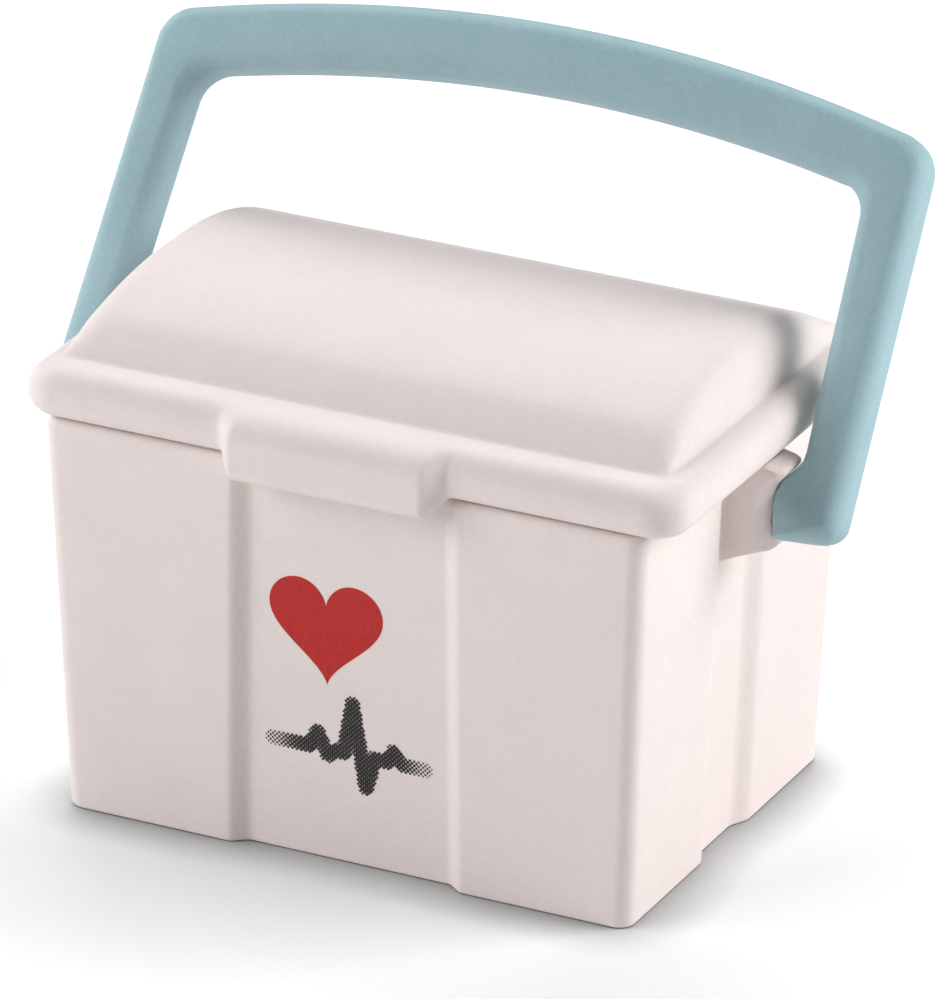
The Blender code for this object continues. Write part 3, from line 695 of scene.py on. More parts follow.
def handle_rails(side):
    """Outer and inner edge of half the bail, from the leg's end to the bar's crown."""
    size = sizes()
    taper = size.handle_taper if side > 0 else size.handle_left_taper
    crown_x = side * size.crown_shift
    camber = size.camber_radius
    lid_end = size.rim_length / 2 + size.flange_side_overhang + size.lid_shift
    inner_x = lid_end + size.leg_clearance
    outer_x = inner_x + size.leg_width

    def outer_face(along):
        return outer_x - taper * along

    def inner_face(along):
        plain = inner_x - size.handle_inner_taper * along
        pad = lug_face() + size.pad_gap
        return pad + (plain - pad) * smooth_step((along - size.pad_radius) / size.pad_ramp)

    def corner_rail(face, lean_ratio, crown, radius):
        along = crown[1]
        for _ in range(8):
            along = crown[1] - (face(along) - crown[0]) ** 2 / (2 * camber)
        lean = math.atan(lean_ratio)
        drop = math.atan((face(along) - crown[0]) / camber)
        turn = math.pi / 2 - drop - lean
        tangent = radius * math.tan(turn / 2)
        start = (face(along - tangent), along - tangent)
        centre = (start[0] - radius * math.cos(lean), start[1] - radius * math.sin(lean))
        return arc(centre, radius, math.degrees(lean), math.degrees(lean + turn), 12)

    top = (crown_x, size.handle_height)
    below = (crown_x, size.handle_height - size.bar_width)
    outer_corner = corner_rail(outer_face, taper, top, size.handle_outer_radius)
    inner_corner = corner_rail(inner_face, size.handle_inner_taper, below, size.handle_inner_radius)
    outer, inner = [], []
    for k in range(1, 30):
        share = 0.065 + 0.935 * (k / 30) ** 1.15
        high = outer_corner[0][1] * share - size.handle_foot * (1 - share)
        low = inner_corner[0][1] * share - size.handle_foot * (1 - share)
        outer.append((outer_face(high), high))
        inner.append((inner_face(low), low))
    outer += outer_corner
    inner += inner_corner
    for rail, crown in ((outer, top), (inner, below)):
        reach = rail[-1][0] - crown[0]
        for k in range(1, 25):
            from_crown = reach * (1 - k / 24)
            rail.append((crown[0] + from_crown, crown[1] - from_crown ** 2 / (2 * camber)))
    return outer, inner, (outer_x, inner_face(0))


def handle_section(outer, inner, side):
    """Rounded rectangle across the bail between two points of its rails.

    The inner edges are tighter round the pivot, where the leg is trimmed to its lug,
    and below it the leg's end is round as seen from the side.
    """
    size = sizes()
    depth = size.handle_depth
    middle = ((outer[0] + inner[0]) / 2, (outer[1] + inner[1]) / 2)
    across = (outer[0] - inner[0], outer[1] - inner[1])
    width = math.hypot(*across)
    unit = (across[0] / width, across[1] / width)
    away = smooth_step((middle[1] - 2 * size.pad_radius) / (2 * size.pad_radius))
    tight = size.pad_edge_radius + (size.handle_edge_radius - size.pad_edge_radius) * away
    points = []
    corners = ((0, 1, 1, size.handle_edge_radius), (90, -1, 1, tight), (180, -1, -1, tight),
               (270, 1, -1, size.handle_edge_radius))
    for start, sign_w, sign_d, wanted in corners:
        radius = min(wanted, 0.98 * width / 2, 0.98 * depth / 2)
        centre = (sign_w * (width / 2 - radius), sign_d * (depth / 2 - radius))
        points += arc(centre, radius, start, start + 90, EDGE_STEPS)
    ring = []
    for w, d in points:
        x, along = middle[0] + unit[0] * w, middle[1] + unit[1] * w
        slant = size.foot_slant * min(max((x - inner[0]) / size.leg_width, 0.0), 1.0)
        below = max(-along / (size.handle_foot - slant), 0.0)
        ring.append((side * x, d * math.sqrt(max(1 - below ** 2, 0.02)), along))
    return ring


def half_bail(side):
    """Rings of half the bail, from the rounded end of its leg to the bar's crown."""
    size = sizes()
    outer, inner, (foot_outer, foot_inner) = handle_rails(side)
    rings = []
    low = size.foot_slant - size.handle_foot
    for inward, upward in quarter_turn(EDGE_STEPS)[:-1]:
        far = (foot_outer - size.foot_outer_radius * inward, size.foot_outer_radius * upward + low)
        near = (foot_inner + size.foot_inner_radius * inward,
                size.foot_inner_radius * upward - size.handle_foot)
        rings.append(handle_section(far, near, side))
    rings += [handle_section(a, b, side) for a, b in zip(outer, inner)]
    return rings


def build_bail(material):
    """Bail handle leaning back at its rest pose, with both trunnions."""
    size = sizes()
    builder = MeshBuilder()
    right, left = half_bail(1), half_bail(-1)
    builder.loft(right + list(reversed(left[:-1])))
    nose = lug_face()
    tip, radius = nose - size.trunnion_depth, size.trunnion_radius
    stations = ((tip, radius * 0.75), (tip + 0.1 * MM, radius * 0.93), (tip + 0.2 * MM, radius),
                (nose + TRUNNION_ROOT, radius))
    for side in (-1, 1):
        turned(builder, (0, 0), stations, ROUND_STEPS, side)
    bail = builder.finish("bail_handle", material, 60)
    lean = Matrix.Rotation(-math.radians(size.handle_lean), 4, "X")
    bail.data.transform(Matrix.Translation((0, PIVOT_Y, PIVOT_Z)) @ lean)
    return bail


def build_hinge_wire(material):
    """Straight wire pin with slightly rounded cut ends."""
    low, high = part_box("hinge_pin")
    radius = (high.z - low.z) / 2
    soft = 0.12 * MM
    builder = MeshBuilder()
    shares = ((low.x, 0.7), (low.x + soft / 2, 0.93), (low.x + soft, 1.0),
              (high.x - soft, 1.0), (high.x - soft / 2, 0.93), (high.x, 0.7))
    turned(builder, (HINGE_Y, HINGE_Z), [(x, radius * share) for x, share in shares], 24)
    return builder.finish("hinge_wire", material, 50)


# Print on the front panel


def panel_point(x, z, lift):
    """Place on the front panel's sloping face, lifted off it by a hair."""
    size = sizes()
    lean = math.atan(size.wall_slope)
    y = -(size.rim_depth / 2 - wall_lean(z)) + size.front_panel_depth
    return (x, y - lift * math.cos(lean), z - lift * math.sin(lean))


def build_heart(material):
    """Solid heart of the front print, a thin even coat of ink."""
    size = sizes()
    scale = size.heart_width / 32
    points = []
    for k in range(96):
        t = 2 * math.pi * k / 96
        x = 16 * math.sin(t) ** 3
        z = 13 * math.cos(t) - 5 * math.cos(2 * t) - 2 * math.cos(3 * t) - math.cos(4 * t)
        points.append((x * scale, z * scale))
    builder = MeshBuilder()
    rings = []
    for lift, share in ((-0.01 * MM, 1.0), (size.ink_lift, 1.0), (size.ink_lift * 1.2, 0.97)):
        rings.append([panel_point(size.heart_x + x * share, size.heart_z + z * share, lift)
                      for x, z in points])
    builder.loft(rings)
    return builder.finish("print_heart", material, 80)


def pulse_line():
    """Corner points of the pulse line on the front, as (x, z) in metres."""
    size = sizes()
    shares = ((-1.0, 0.0), (-0.52, 0.0), (-0.40, 0.30), (-0.28, -0.12), (-0.16, 0.0), (-0.06, 0.0),
              (0.06, 1.0), (0.22, -0.62), (0.34, 0.0), (0.5, 0.0), (0.6, 0.22), (0.7, 0.0), (1.0, 0.0))
    half, rise = size.pulse_length / 2, size.pulse_height
    return [(size.pulse_x + half * a, size.pulse_z + rise * b) for a, b in shares]


def build_pulse(material):
    """Pulse line of the front print, made of screened dots that thin out at its ends."""
    size = sizes()
    path = pulse_line()
    pitch, width = size.dot_pitch, size.pulse_width
    builder = MeshBuilder()
    low_x = min(p[0] for p in path) - width
    high_x = max(p[0] for p in path) + width
    low_z = min(p[1] for p in path) - width
    high_z = max(p[1] for p in path) + width
    rows = int((high_z - low_z) / (pitch * 0.7071)) + 1
    columns = int((high_x - low_x) / (pitch * 1.4142)) + 1
    for j in range(rows):
        for i in range(columns):
            x = low_x + (i + 0.5 * (j % 2)) * pitch * 1.4142
            z = low_z + j * pitch * 0.7071
            away = min(distance_to_run((x, z), a, b) for a, b in zip(path, path[1:]))
            share = 1 - away / (width / 2)
            if share <= 0:
                continue
            end = min(x - path[0][0], path[-1][0] - x) / (size.pulse_length * 0.22)
            tone = min(1.0, 0.35 + 2.2 * share) * (0.35 + 0.65 * smooth_step(end))
            radius = pitch * 0.64 * math.sqrt(tone)
            if radius < pitch * 0.2:
                continue
            ring = []
            for k in range(8):
                angle = math.pi * (k + 0.5) / 4
                place = (x + radius * math.cos(angle), z + radius * math.sin(angle))
                ring.append(builder.bm.verts.new(panel_point(*place, size.ink_lift)))
            builder.bm.faces.new(ring)
    return builder.finish("print_pulse", material, 80)


def distance_to_run(point, a, b):
    """Distance of a point from a straight run between two others."""
    ax, az = a
    bx, bz = b
    run = (bx - ax) ** 2 + (bz - az) ** 2
    share = max(0.0, min(1.0, ((point[0] - ax) * (bx - ax) + (point[1] - az) * (bz - az)) / run))
    return math.hypot(point[0] - ax - share * (bx - ax), point[1] - az - share * (bz - az))


# Materials


def new_material(name):
    """Material, its node tree, its shader and the place on the piece as a socket."""
    made = bpy.data.materials.new(name)
    made.use_nodes = True
    tree = made.node_tree
    place = add_node(tree, "ShaderNodeTexCoord").outputs["Object"]
    return made, tree, tree.nodes["Principled BSDF"], place


def moulded_vinyl(name, colour, shade, roughness, grain_depth, mottle):
    """Injection-moulded soft vinyl with a spark-eroded mould finish: a matte skin whose fine
    grain breaks highlights up, and a faint cloudiness from pigment that mixed unevenly."""
    made, tree, shader, place = new_material(name)
    # Spark-eroded grain is about 0.1 mm; 0.16 mm is drawn so that it shows at this distance
    grain = add_node(tree, "ShaderNodeTexNoise", {"Vector": place}, scale=1 / (0.16 * MM), detail=3.0)
    cloud = add_node(tree, "ShaderNodeTexNoise", {"Vector": place}, scale=1 / (2.4 * MM), detail=2.0)
    speck = add_node(tree, "ShaderNodeTexNoise", {"Vector": place}, scale=1 / (0.22 * MM), detail=1.0)
    clouds = add_node(tree, "ShaderNodeMapRange", {"Value": cloud.outputs["Fac"]},
                      from_min=0.3, from_max=0.7, to_min=0.0, to_max=mottle)
    specks = add_node(tree, "ShaderNodeMapRange", {"Value": speck.outputs["Fac"]},
                      from_min=0.35, from_max=0.65, to_min=0.0, to_max=mottle)
    both = add_node(tree, "ShaderNodeMath", operation="ADD")
    tree.links.new(clouds.outputs["Result"], both.inputs[0])
    tree.links.new(specks.outputs["Result"], both.inputs[1])
    ramp = add_node(tree, "ShaderNodeValToRGB", {"Fac": both.outputs[0]})
    ramp.color_ramp.elements[0].color = linear(colour)
    ramp.color_ramp.elements[1].color = linear(shade)
    tree.links.new(ramp.outputs["Color"], shader.inputs["Base Color"])
    rough = add_node(tree, "ShaderNodeMapRange", {"Value": grain.outputs["Fac"]},
                     from_min=0.3, from_max=0.7, to_min=roughness - 0.06, to_max=roughness + 0.06)
    tree.links.new(rough.outputs["Result"], shader.inputs["Roughness"])
    bump = add_node(tree, "ShaderNodeBump", {"Height": grain.outputs["Fac"]},
                    strength=1.0, distance=grain_depth)
    tree.links.new(bump.outputs["Normal"], shader.inputs["Normal"])
    shader.inputs["IOR"].default_value = 1.52
    shader.inputs["Specular IOR Level"].default_value = 0.35
    return made


def pad_ink(name, colour, thin):
    """Pad-printed ink: a thin satin film that follows the vinyl's grain and is a little
    uneven where the pad pressed less."""
    made, tree, shader, place = new_material(name)
    # Pad ink lies 0.15 mm cells thick and thin over the grain
    cells = add_node(tree, "ShaderNodeTexNoise", {"Vector": place}, scale=1 / (0.15 * MM), detail=2.0)
    ramp = add_node(tree, "ShaderNodeValToRGB", {"Fac": cells.outputs["Fac"]})
    ramp.color_ramp.elements[0].position = 0.32
    ramp.color_ramp.elements[0].color = linear(thin)
    ramp.color_ramp.elements[1].position = 0.5
    ramp.color_ramp.elements[1].color = linear(colour)
    tree.links.new(ramp.outputs["Color"], shader.inputs["Base Color"])
    bump = add_node(tree, "ShaderNodeBump", {"Height": cells.outputs["Fac"]},
                    strength=1.0, distance=0.006 * MM)
    tree.links.new(bump.outputs["Normal"], shader.inputs["Normal"])
    shader.inputs["Roughness"].default_value = 0.5
    return made


def drawn_steel(name, colour):
    """Cold-drawn steel wire: bright, with fine lines along its length from the die."""
    made, tree, shader, place = new_material(name)
    # Die lines: 0.03 mm apart round the wire and millimetres long
    stretch = add_node(tree, "ShaderNodeMapping", {"Vector": place})
    stretch.inputs["Scale"].default_value = (1 / (6 * MM), 1 / (0.03 * MM), 1 / (0.03 * MM))
    lines = add_node(tree, "ShaderNodeTexNoise", {"Vector": stretch.outputs["Vector"]},
                     scale=1.0, detail=2.0)
    rough = add_node(tree, "ShaderNodeMapRange", {"Value": lines.outputs["Fac"]},
                     from_min=0.3, from_max=0.7, to_min=0.22, to_max=0.42)
    tree.links.new(rough.outputs["Result"], shader.inputs["Roughness"])
    shader.inputs["Base Color"].default_value = linear(colour)
    shader.inputs["Metallic"].default_value = 1.0
    return made


def studio_paper(name, colour, print_colour, gain):
    """Seamless studio paper: a plain matte white, printed up to pure white as a product
    photograph's ground is. It keeps the case's soft shadow from the lamps, and the camera also sees painted
    contact shade near the case."""
    made, tree, shader, place = new_material(name)
    tree.nodes.remove(shader)
    output = tree.nodes["Material Output"]
    # Paper fibres: about 0.5 mm
    fibre = add_node(tree, "ShaderNodeTexNoise", {"Vector": place}, scale=1 / (0.5 * MM), detail=2.0)
    bump = add_node(tree, "ShaderNodeBump", {"Height": fibre.outputs["Fac"]},
                    strength=0.2, distance=0.01 * MM)
    paper = add_node(tree, "ShaderNodeBsdfDiffuse", {"Normal": bump.outputs["Normal"]})
    paper.inputs["Color"].default_value = linear(colour)
    # Seen by the camera alone, the paper is printed brighter than it lights the case
    printed = add_node(tree, "ShaderNodeBsdfDiffuse", {"Normal": bump.outputs["Normal"]})
    # Painted contact shade: an ambient occlusion node darkens the floor colour the camera sees near the case
    painted_contact_shade = add_node(tree, "ShaderNodeAmbientOcclusion", distance=PAINTED_SHADE_REACH, samples=16)
    painted_contact_shade.inputs["Color"].default_value = [gain * channel for channel in linear(print_colour)]
    tree.links.new(painted_contact_shade.outputs["Color"], printed.inputs["Color"])
    path = add_node(tree, "ShaderNodeLightPath")
    mix = add_node(tree, "ShaderNodeMixShader", {"Fac": path.outputs["Is Camera Ray"]})
    tree.links.new(paper.outputs["BSDF"], mix.inputs[1])
    tree.links.new(printed.outputs["BSDF"], mix.inputs[2])
    tree.links.new(mix.outputs["Shader"], output.inputs["Surface"])
    return made


def shared_material(name, maker):
    """A material by name, made the first time it is asked for."""
    return bpy.data.materials.get(name) or maker(name)


def white_vinyl():
    colour = colours()
    return shared_material("moulded_white_vinyl", lambda name: moulded_vinyl(
        name, colour.white, colour.white_shade, 0.6, 0.014 * MM, 0.22))


def blue_vinyl():
    colour = colours()
    return shared_material("moulded_blue_vinyl", lambda name: moulded_vinyl(
        name, colour.blue, colour.blue_shade, 0.55, 0.014 * MM, 0.3))


# Sizes and colours a user may change


def length(text, millimetres):
    return bpy.props.FloatProperty(description=text, default=millimetres * MM, unit="LENGTH", precision=5)


def ratio(text, value):
    return bpy.props.FloatProperty(description=text, default=value, precision=4)


def hex_value(text, value):
    return bpy.props.StringProperty(description=text, default=value)


class DoctorCaseSizes(bpy.types.PropertyGroup):
    """Sizes of the case, in metres, and its ratios."""

    rim_length: length("Outer length of the walls at the rim", 28.86)
    rim_depth: length("Outer depth of the walls at the rim", 21.34)
    rim_height: length("Height of the body's rim", 18.75)
    wall_slope: ratio("Inward lean of the walls towards the floor", 0.0358)
    wall_thickness: length("Thickness of the walls", 1.5)
    floor_thickness: length("Thickness of the floor", 1.3)
    corner_radius: length("Radius of the body's upright corners", 0.8)
    inner_corner_radius: length("Radius inside the corners", 0.6)
    foot_radius: length("Rounding of the lower edge", 0.2)
    rim_radius: length("Rounding of the rim's outer edge", 0.42)
    inner_rim_radius: length("Rounding of the rim's inner edge", 0.2)
    floor_fillet: length("Fillet between the walls and the floor", 0.7)
    front_panel_length: length("Sunk panel on the front and back", 10.6)
    front_panel_depth: length("How far that is sunk", 0.54)
    side_panel_length: length("Sunk panel on the sides", 3.9)
    side_panel_depth: length("How far those are sunk", 0.47)
    step_width: length("Width of the step round a sunk panel", 0.95)
    left_step_shift: length("Front left step inward at the rim", 0.5)
    left_step_foot_shift: length("Front left step inward at the foot", 0.05)
    rear_step_shift: length("Side panel's rear step backward", 0.2)
    rear_step_width: length("Width of the side panel's rear step", 1.3)
    lug_width: length("Width of a pivot lug", 2.3)
    lug_reach: length("Panel out to a lug's outer face", 2.22)
    lug_edge: length("Soft chamfer of a lug's upright edges", 0.72)
    lug_fillet: length("Fillet between a lug and the wall", 0.35)
    lug_flare: length("Extra reach at a lug's top", 0.57)
    trunnion_radius: length("Radius of the handle's stubs", 0.6)
    trunnion_clearance: length("Running gap round a stub", 0.05)
    trunnion_depth: length("How far a stub reaches into its lug", 1.5)
    barrel_radius: length("Radius of the hinge's knuckles", 0.9)
    barrel_end_radius: length("Rounding of a knuckle's ends", 0.12)
    lid_gap: length("Parting gap between rim and lid", 0.1)
    lid_shift: length("How far right the lid lies on its hinge", 0.37)
    flange_side_overhang: length("Lid past the body at each end", 1.42)
    flange_front_overhang: length("Lid past the body in front", 0.47)
    flange_height: length("Height of the lid's flange", 2.27)
    flange_lower_radius: length("Lower rounding of the flange", 0.95)
    flange_upper_radius: length("Upper rounding of the flange", 1.12)
    flange_corner_radius: length("Plan corners of the lid", 1.75)
    dome_centre: length("Middle of the dome, left to right", 0.24)
    dome_end_ledge: length("Flange edge in to the dome's end", 1.31)
    dome_front_ledge: length("Flange edge in to the dome", 0.83)
    dome_front_foot: length("Flange edge in to the crease in front", 2.15)
    dome_front_run: length("Run over which the dome's front rises steeply", 2.0)
    dome_back_ledge: length("Flange edge in to the dome at the back", 0.95)
    dome_rise: length("Height of the dome over the flange", 2.73)
    dome_end_radius: length("Rounding of the dome's ends", 1.62)
    dome_power: ratio("Curve of the dome, front to back", 2.38)
    dome_end_power: ratio("Squareness of the dome's ends", 2.21)
    crease_fill: length("Softness of the crease round the dome", 0.2)
    lid_thickness: length("Thickness of the dome", 1.2)
    tab_length: length("Length of the latch tab", 10.5)
    tab_reach: length("Tab ahead of the flange", 0.86)
    tab_fade: length("Where the tab's top runs out on the flange", 0.9)
    tab_drop: length("Tab below the flange", 0.7)
    tab_edge_radius: length("Rounding of the tab's edges", 0.5)
    tab_wall_gap: length("Tab's back off the wall", 0.18)
    tab_left_blend: length("Width of the tab's left end", 1.1)
    tab_left_inset: length("Left end's middle inward", 0.2)
    tab_right_blend: length("Width of the tab's right end", 1.0)
    tab_right_inset: length("Right end's middle inward", 0.25)
    lip_depth: length("Locating lip below the flange", 1.0)
    lip_thickness: length("Thickness of the locating lip", 0.9)
    lip_edge_radius: length("Rounding of the lip's edge", 0.2)
    lip_clearance: length("Lip off the walls, front and back", 0.25)
    lip_side_clearance: length("Lip off the end walls", 0.55)
    handle_lean: ratio("Degrees back from upright", 34.5)
    handle_depth: length("Section across the bail's plane", 2.6)
    handle_height: length("Pivot to the top of the bar", 19.386)
    handle_foot: length("Pivot down to a leg's end", 1.02)
    foot_slant: length("How much higher a leg's outer side ends", 0.12)
    foot_outer_radius: length("Rounding outside a leg's end", 1.1)
    foot_inner_radius: length("Rounding inside a leg's end", 0.06)
    leg_clearance: length("Lid's end to a leg at the pivot", 0.62)
    leg_width: length("Width of a leg at the pivot", 2.32)
    handle_taper: ratio("Inward lean of the right leg's outer face", 0.022)
    handle_left_taper: ratio("Inward lean of the left leg's outer face", 0.036)
    handle_inner_taper: ratio("Inward lean of the legs' inner faces", 0.037)
    bar_width: length("Height of the bar's section", 3.1)
    camber_radius: length("Radius of the bar's camber", 72.0)
    crown_shift: length("Top of the camber, to the right", 0.5)
    handle_outer_radius: length("Outer corners of the bail", 1.7)
    handle_inner_radius: length("Inner corners of the bail", 1.7)
    handle_edge_radius: length("Rounding of the section", 0.95)
    pad_radius: length("Raised pad round the pivot", 0.75)
    pad_ramp: length("Run from the pad out to the leg's face", 1.9)
    pad_edge_radius: length("Rounding of the pad's long edges", 0.14)
    pad_gap: length("Pad off the lug's outer face", 0.03)
    heart_width: length("Width of the printed heart", 5.5)
    heart_x: length("Middle of the heart, left to right", -0.9)
    heart_z: length("Middle of the heart above the floor", 11.4)
    pulse_length: length("Length of the printed pulse line", 7.4)
    pulse_height: length("Height of the pulse line's main beat", 2.4)
    pulse_width: length("Width of the pulse line's stroke", 0.75)
    pulse_x: length("Middle of the pulse line, left to right", 0.1)
    pulse_z: length("Height of the pulse line above the floor", 5.4)
    dot_pitch: length("Spacing of the printed dots", 0.15)
    ink_lift: length("Thickness of the ink", 0.012)


class DoctorCaseColours(bpy.types.PropertyGroup):
    """Colours of the case as sRGB hex values."""

    white: hex_value("Body and lid", "#F1E6E3")
    white_shade: hex_value("Clouds in the body and lid", "#E6DAD7")
    blue: hex_value("Handle", "#A4C3CB")
    blue_shade: hex_value("Clouds in the handle", "#93B4BD")
    red: hex_value("Heart", "#C21108")
    red_thin: hex_value("Thin places in the heart", "#A81009")
    black: hex_value("Pulse line", "#1E1B1C")
    black_thin: hex_value("Thin places in the pulse line", "#353132")
    steel: hex_value("Hinge wire", "#C4C5C8")
    paper: hex_value("Floor", "#F4F4F4")
    paper_print: hex_value("Floor as the camera prints it", "#F2F5F6")


# Operators


def dress(piece, body, slot, *nodes):
    """Lets a piece ride on a body and stand for CAD nodes; the slot it is given is not used."""
    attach(piece, body)
    if nodes:
        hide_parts(*nodes)


class CaseBodyOperator(bpy.types.Operator):
    """Build the open box with its pivot lugs and hinge knuckles"""

    bl_idname = "doctor_case.body"
    bl_label = "Case body"

    def execute(self, context):
        vinyl = white_vinyl()
        size = sizes()
        dress(build_case_shell(vinyl), "case", "white_plastic", "case_body")
        for side, word in ((-1, "left"), (1, "right")):
            dress(build_lug(side, word, vinyl), "case", "white_plastic")
        wall = size.rim_depth / 2 - size.front_panel_depth - 0.1 * MM
        anchor = ((wall, HINGE_Z - 0.2 * MM), (wall, HINGE_Z - 0.85 * MM))
        low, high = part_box("hinge_pin")
        inner = (high.x - low.x) / 2 - BODY_KNUCKLE_LENGTH
        for side, word in ((-1, "left"), (1, "right")):
            left, right = sorted((side * inner, side * high.x))
            dress(knuckle("body_knuckle_" + word, left, right, anchor, vinyl), "case", "white_plastic")
        return {"FINISHED"}


class LidOperator(bpy.types.Operator):
    """Build the domed lid with its latch tab and hinge knuckle"""

    bl_idname = "doctor_case.lid"
    bl_label = "Lid"

    def execute(self, context):
        vinyl = white_vinyl()
        size = sizes()
        dress(build_lid_shell(vinyl), "lid", "white_plastic", "lid")
        back = size.rim_depth / 2 - 0.6 * MM
        anchor = ((back, HINGE_Z + 1.35 * MM), (back, HINGE_Z + size.lid_gap + 0.1 * MM))
        left = size.lid_shift - LID_KNUCKLE_LENGTH / 2
        right = size.lid_shift + LID_KNUCKLE_LENGTH / 2
        dress(knuckle("lid_knuckle", left, right, anchor, vinyl), "lid", "white_plastic")
        return {"FINISHED"}


class HandleOperator(bpy.types.Operator):
    """Build the bail handle with its trunnions"""

    bl_idname = "doctor_case.handle"
    bl_label = "Handle"

    def execute(self, context):
        dress(build_bail(blue_vinyl()), "handle", "light_blue_plastic", "handle")
        return {"FINISHED"}


class HingeOperator(bpy.types.Operator):
    """Build the hinge wire"""

    bl_idname = "doctor_case.hinge"
    bl_label = "Hinge wire"

    def execute(self, context):
        steel = shared_material("drawn_steel_wire", lambda name: drawn_steel(name, colours().steel))
        dress(build_hinge_wire(steel), "case", "steel_wire", "hinge_pin")
        return {"FINISHED"}


class PrintOperator(bpy.types.Operator):
    """Build the print on the front panel: a heart over a pulse line"""

    bl_idname = "doctor_case.print"
    bl_label = "Front print"

    def execute(self, context):
        colour = colours()
        red = shared_material("red_pad_ink", lambda name: pad_ink(name, colour.red, colour.red_thin))
        black = shared_material("black_pad_ink", lambda name: pad_ink(name, colour.black, colour.black_thin))
        dress(build_heart(red), "case", "white_plastic")
        dress(build_pulse(black), "case", "white_plastic")
        return {"FINISHED"}


# Camera, worked out from the photograph's perspective
CAMERA_TURN = 26.28
CAMERA_TILT = 23.84
CAMERA_ROLL = 0.46
CAMERA_AIM_HEIGHT = 12 * MM
CAMERA_DISTANCE = 400.75 * MM
CAMERA_LENS = 328.40
CAMERA_SHIFT = (0.02202, 0.03453)

# Softboxes: the compass direction and the height in degrees that each shines from, its distance,
# its side, and how bright it alone makes a white surface that faces it
SOFTBOXES = (
    ("softbox_left", -137, 26, 380 * MM, 280 * MM, 0.66),
    ("softbox_back_left", 162, 24, 380 * MM, 240 * MM, 0.34),
    ("softbox_right", 25, 26, 380 * MM, 240 * MM, 0.84),
    ("overhead_back", 115, 52, 400 * MM, 240 * MM, 0.36),
    ("overhead_right", -10, 52, 400 * MM, 240 * MM, 0.10),
)
WORLD_LIGHT = 0.05
FLOOR_GAIN = 1.18  # how much brighter the camera prints the floor
PAINTED_SHADE_REACH = 3.0 * MM  # how far from the case painted contact shade darkens the floor's colour
FLOOR_REACH = 1200 * MM
FLOOR_THICKNESS = 2 * MM


def add_softbox(name, direction, height, distance, side, level):
    """Square area light aimed at the case."""
    turn, rise = math.radians(direction), math.radians(height)
    towards = Vector((math.cos(turn) * math.cos(rise), math.sin(turn) * math.cos(rise), math.sin(rise)))
    data = bpy.data.lights.new(name, "AREA")
    data.size = side
    data.energy = level * (math.pi * distance) ** 2
    made = bpy.data.objects.new(name, data)
    made.location = Vector((0, 0, CAMERA_AIM_HEIGHT)) + towards * distance
    made.rotation_euler = towards.to_track_quat("Z", "Y").to_euler()
    bpy.context.scene.collection.objects.link(made)


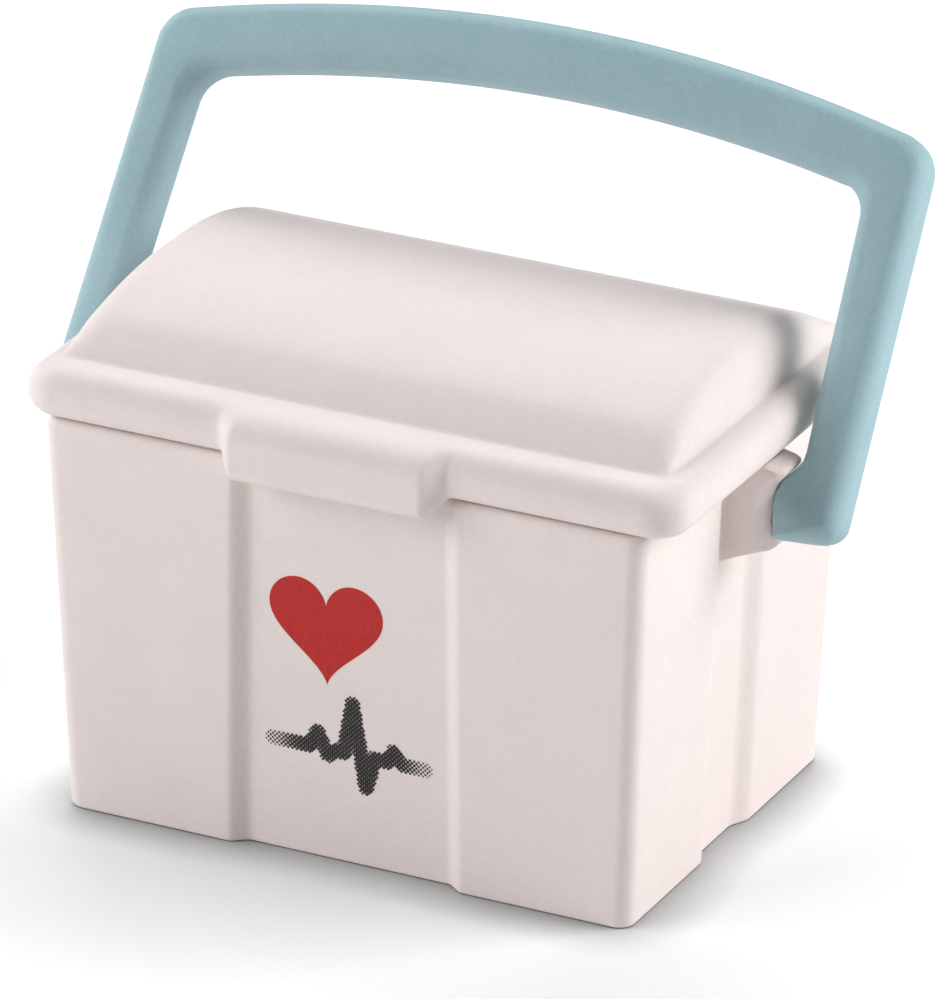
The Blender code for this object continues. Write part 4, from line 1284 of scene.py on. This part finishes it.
class StageOperator(bpy.types.Operator):
    """Build the floor, the lights, the world and the camera"""

    bl_idname = "doctor_case.stage"
    bl_label = "Stage"

    def execute(self, context):
        scene = context.scene
        paper = shared_material("studio_paper", lambda name: studio_paper(
            name, colours().paper, colours().paper_print, FLOOR_GAIN))
        builder = MeshBuilder()
        plan = ((-1, -1), (1, -1), (1, 1), (-1, 1))
        builder.loft([[(x * FLOOR_REACH, y * FLOOR_REACH, z) for x, y in plan]
                      for z in (-FLOOR_THICKNESS, 0)])
        builder.finish("studio_floor", paper)
        for softbox in SOFTBOXES:
            add_softbox(*softbox)
        world = bpy.data.worlds.new("studio_world")
        world.use_nodes = True
        tree = world.node_tree
        background = tree.nodes["Background"]
        output = tree.nodes["World Output"]
        background.inputs["Color"].default_value = linear("#FFFFFF")
        background.inputs["Strength"].default_value = WORLD_LIGHT
        white = add_node(tree, "ShaderNodeBackground")
        white.inputs["Color"].default_value = linear("#FFFFFF")
        path = add_node(tree, "ShaderNodeLightPath")
        mix = add_node(tree, "ShaderNodeMixShader", {"Fac": path.outputs["Is Camera Ray"]})
        tree.links.new(background.outputs[0], mix.inputs[1])
        tree.links.new(white.outputs[0], mix.inputs[2])
        tree.links.new(mix.outputs[0], output.inputs["Surface"])
        scene.world = world
        scene.view_settings.view_transform = "Standard"
        self.add_camera(scene)
        return {"FINISHED"}

    @staticmethod
    def add_camera(scene):
        """Camera at the photograph's place, angle and crop."""
        turn, tilt = math.radians(CAMERA_TURN), math.radians(CAMERA_TILT)
        back = Vector((math.sin(turn) * math.cos(tilt), -math.cos(turn) * math.cos(tilt), math.sin(tilt)))
        right = Vector((math.cos(turn), math.sin(turn), 0))
        facing = Matrix((right, back.cross(right), back)).transposed()
        roll = Matrix.Rotation(math.radians(CAMERA_ROLL), 3, "Z")
        data = bpy.data.cameras.new("photo_camera")
        data.sensor_width = 36
        data.lens = CAMERA_LENS
        data.shift_x, data.shift_y = CAMERA_SHIFT
        data.clip_start, data.clip_end = 0.01, 10
        camera = bpy.data.objects.new("photo_camera", data)
        place = Vector((0, 0, CAMERA_AIM_HEIGHT)) + back * CAMERA_DISTANCE
        camera.matrix_world = Matrix.Translation(place) @ (facing @ roll).to_4x4()
        scene.collection.objects.link(camera)
        scene.camera = camera


class DoctorCasePanel(bpy.types.Panel):
    """Lists the case's pieces, sizes and colours in the sidebar"""

    bl_idname = "VIEW3D_PT_doctor_case"
    bl_label = "Doctor case"
    bl_space_type = "VIEW_3D"
    bl_region_type = "UI"
    bl_category = "Doctor case"

    def draw(self, context):
        layout = self.layout
        for operator in OPERATORS:
            layout.operator(operator.bl_idname)
        for group in (context.scene.doctor_case_sizes, context.scene.doctor_case_colours):
            for name in group.__annotations__:
                layout.prop(group, name, text=name.replace("_", " ").capitalize())


OPERATORS = (CaseBodyOperator, LidOperator, HandleOperator, HingeOperator, PrintOperator, StageOperator)
CLASSES = (DoctorCaseSizes, DoctorCaseColours, *OPERATORS, DoctorCasePanel)


def register():
    for cls in CLASSES:
        bpy.utils.register_class(cls)
    bpy.types.Scene.doctor_case_sizes = bpy.props.PointerProperty(type=DoctorCaseSizes)
    bpy.types.Scene.doctor_case_colours = bpy.props.PointerProperty(type=DoctorCaseColours)


def unregister():
    del bpy.types.Scene.doctor_case_colours
    del bpy.types.Scene.doctor_case_sizes
    for cls in reversed(CLASSES):
        bpy.utils.unregister_class(cls)


def main():
    register()
    bpy.ops.doctor_case.stage()
    bpy.ops.doctor_case.body()
    bpy.ops.doctor_case.lid()
    bpy.ops.doctor_case.handle()
    bpy.ops.doctor_case.hinge()
    bpy.ops.doctor_case.print()


if __name__ == "__main__":
    main()
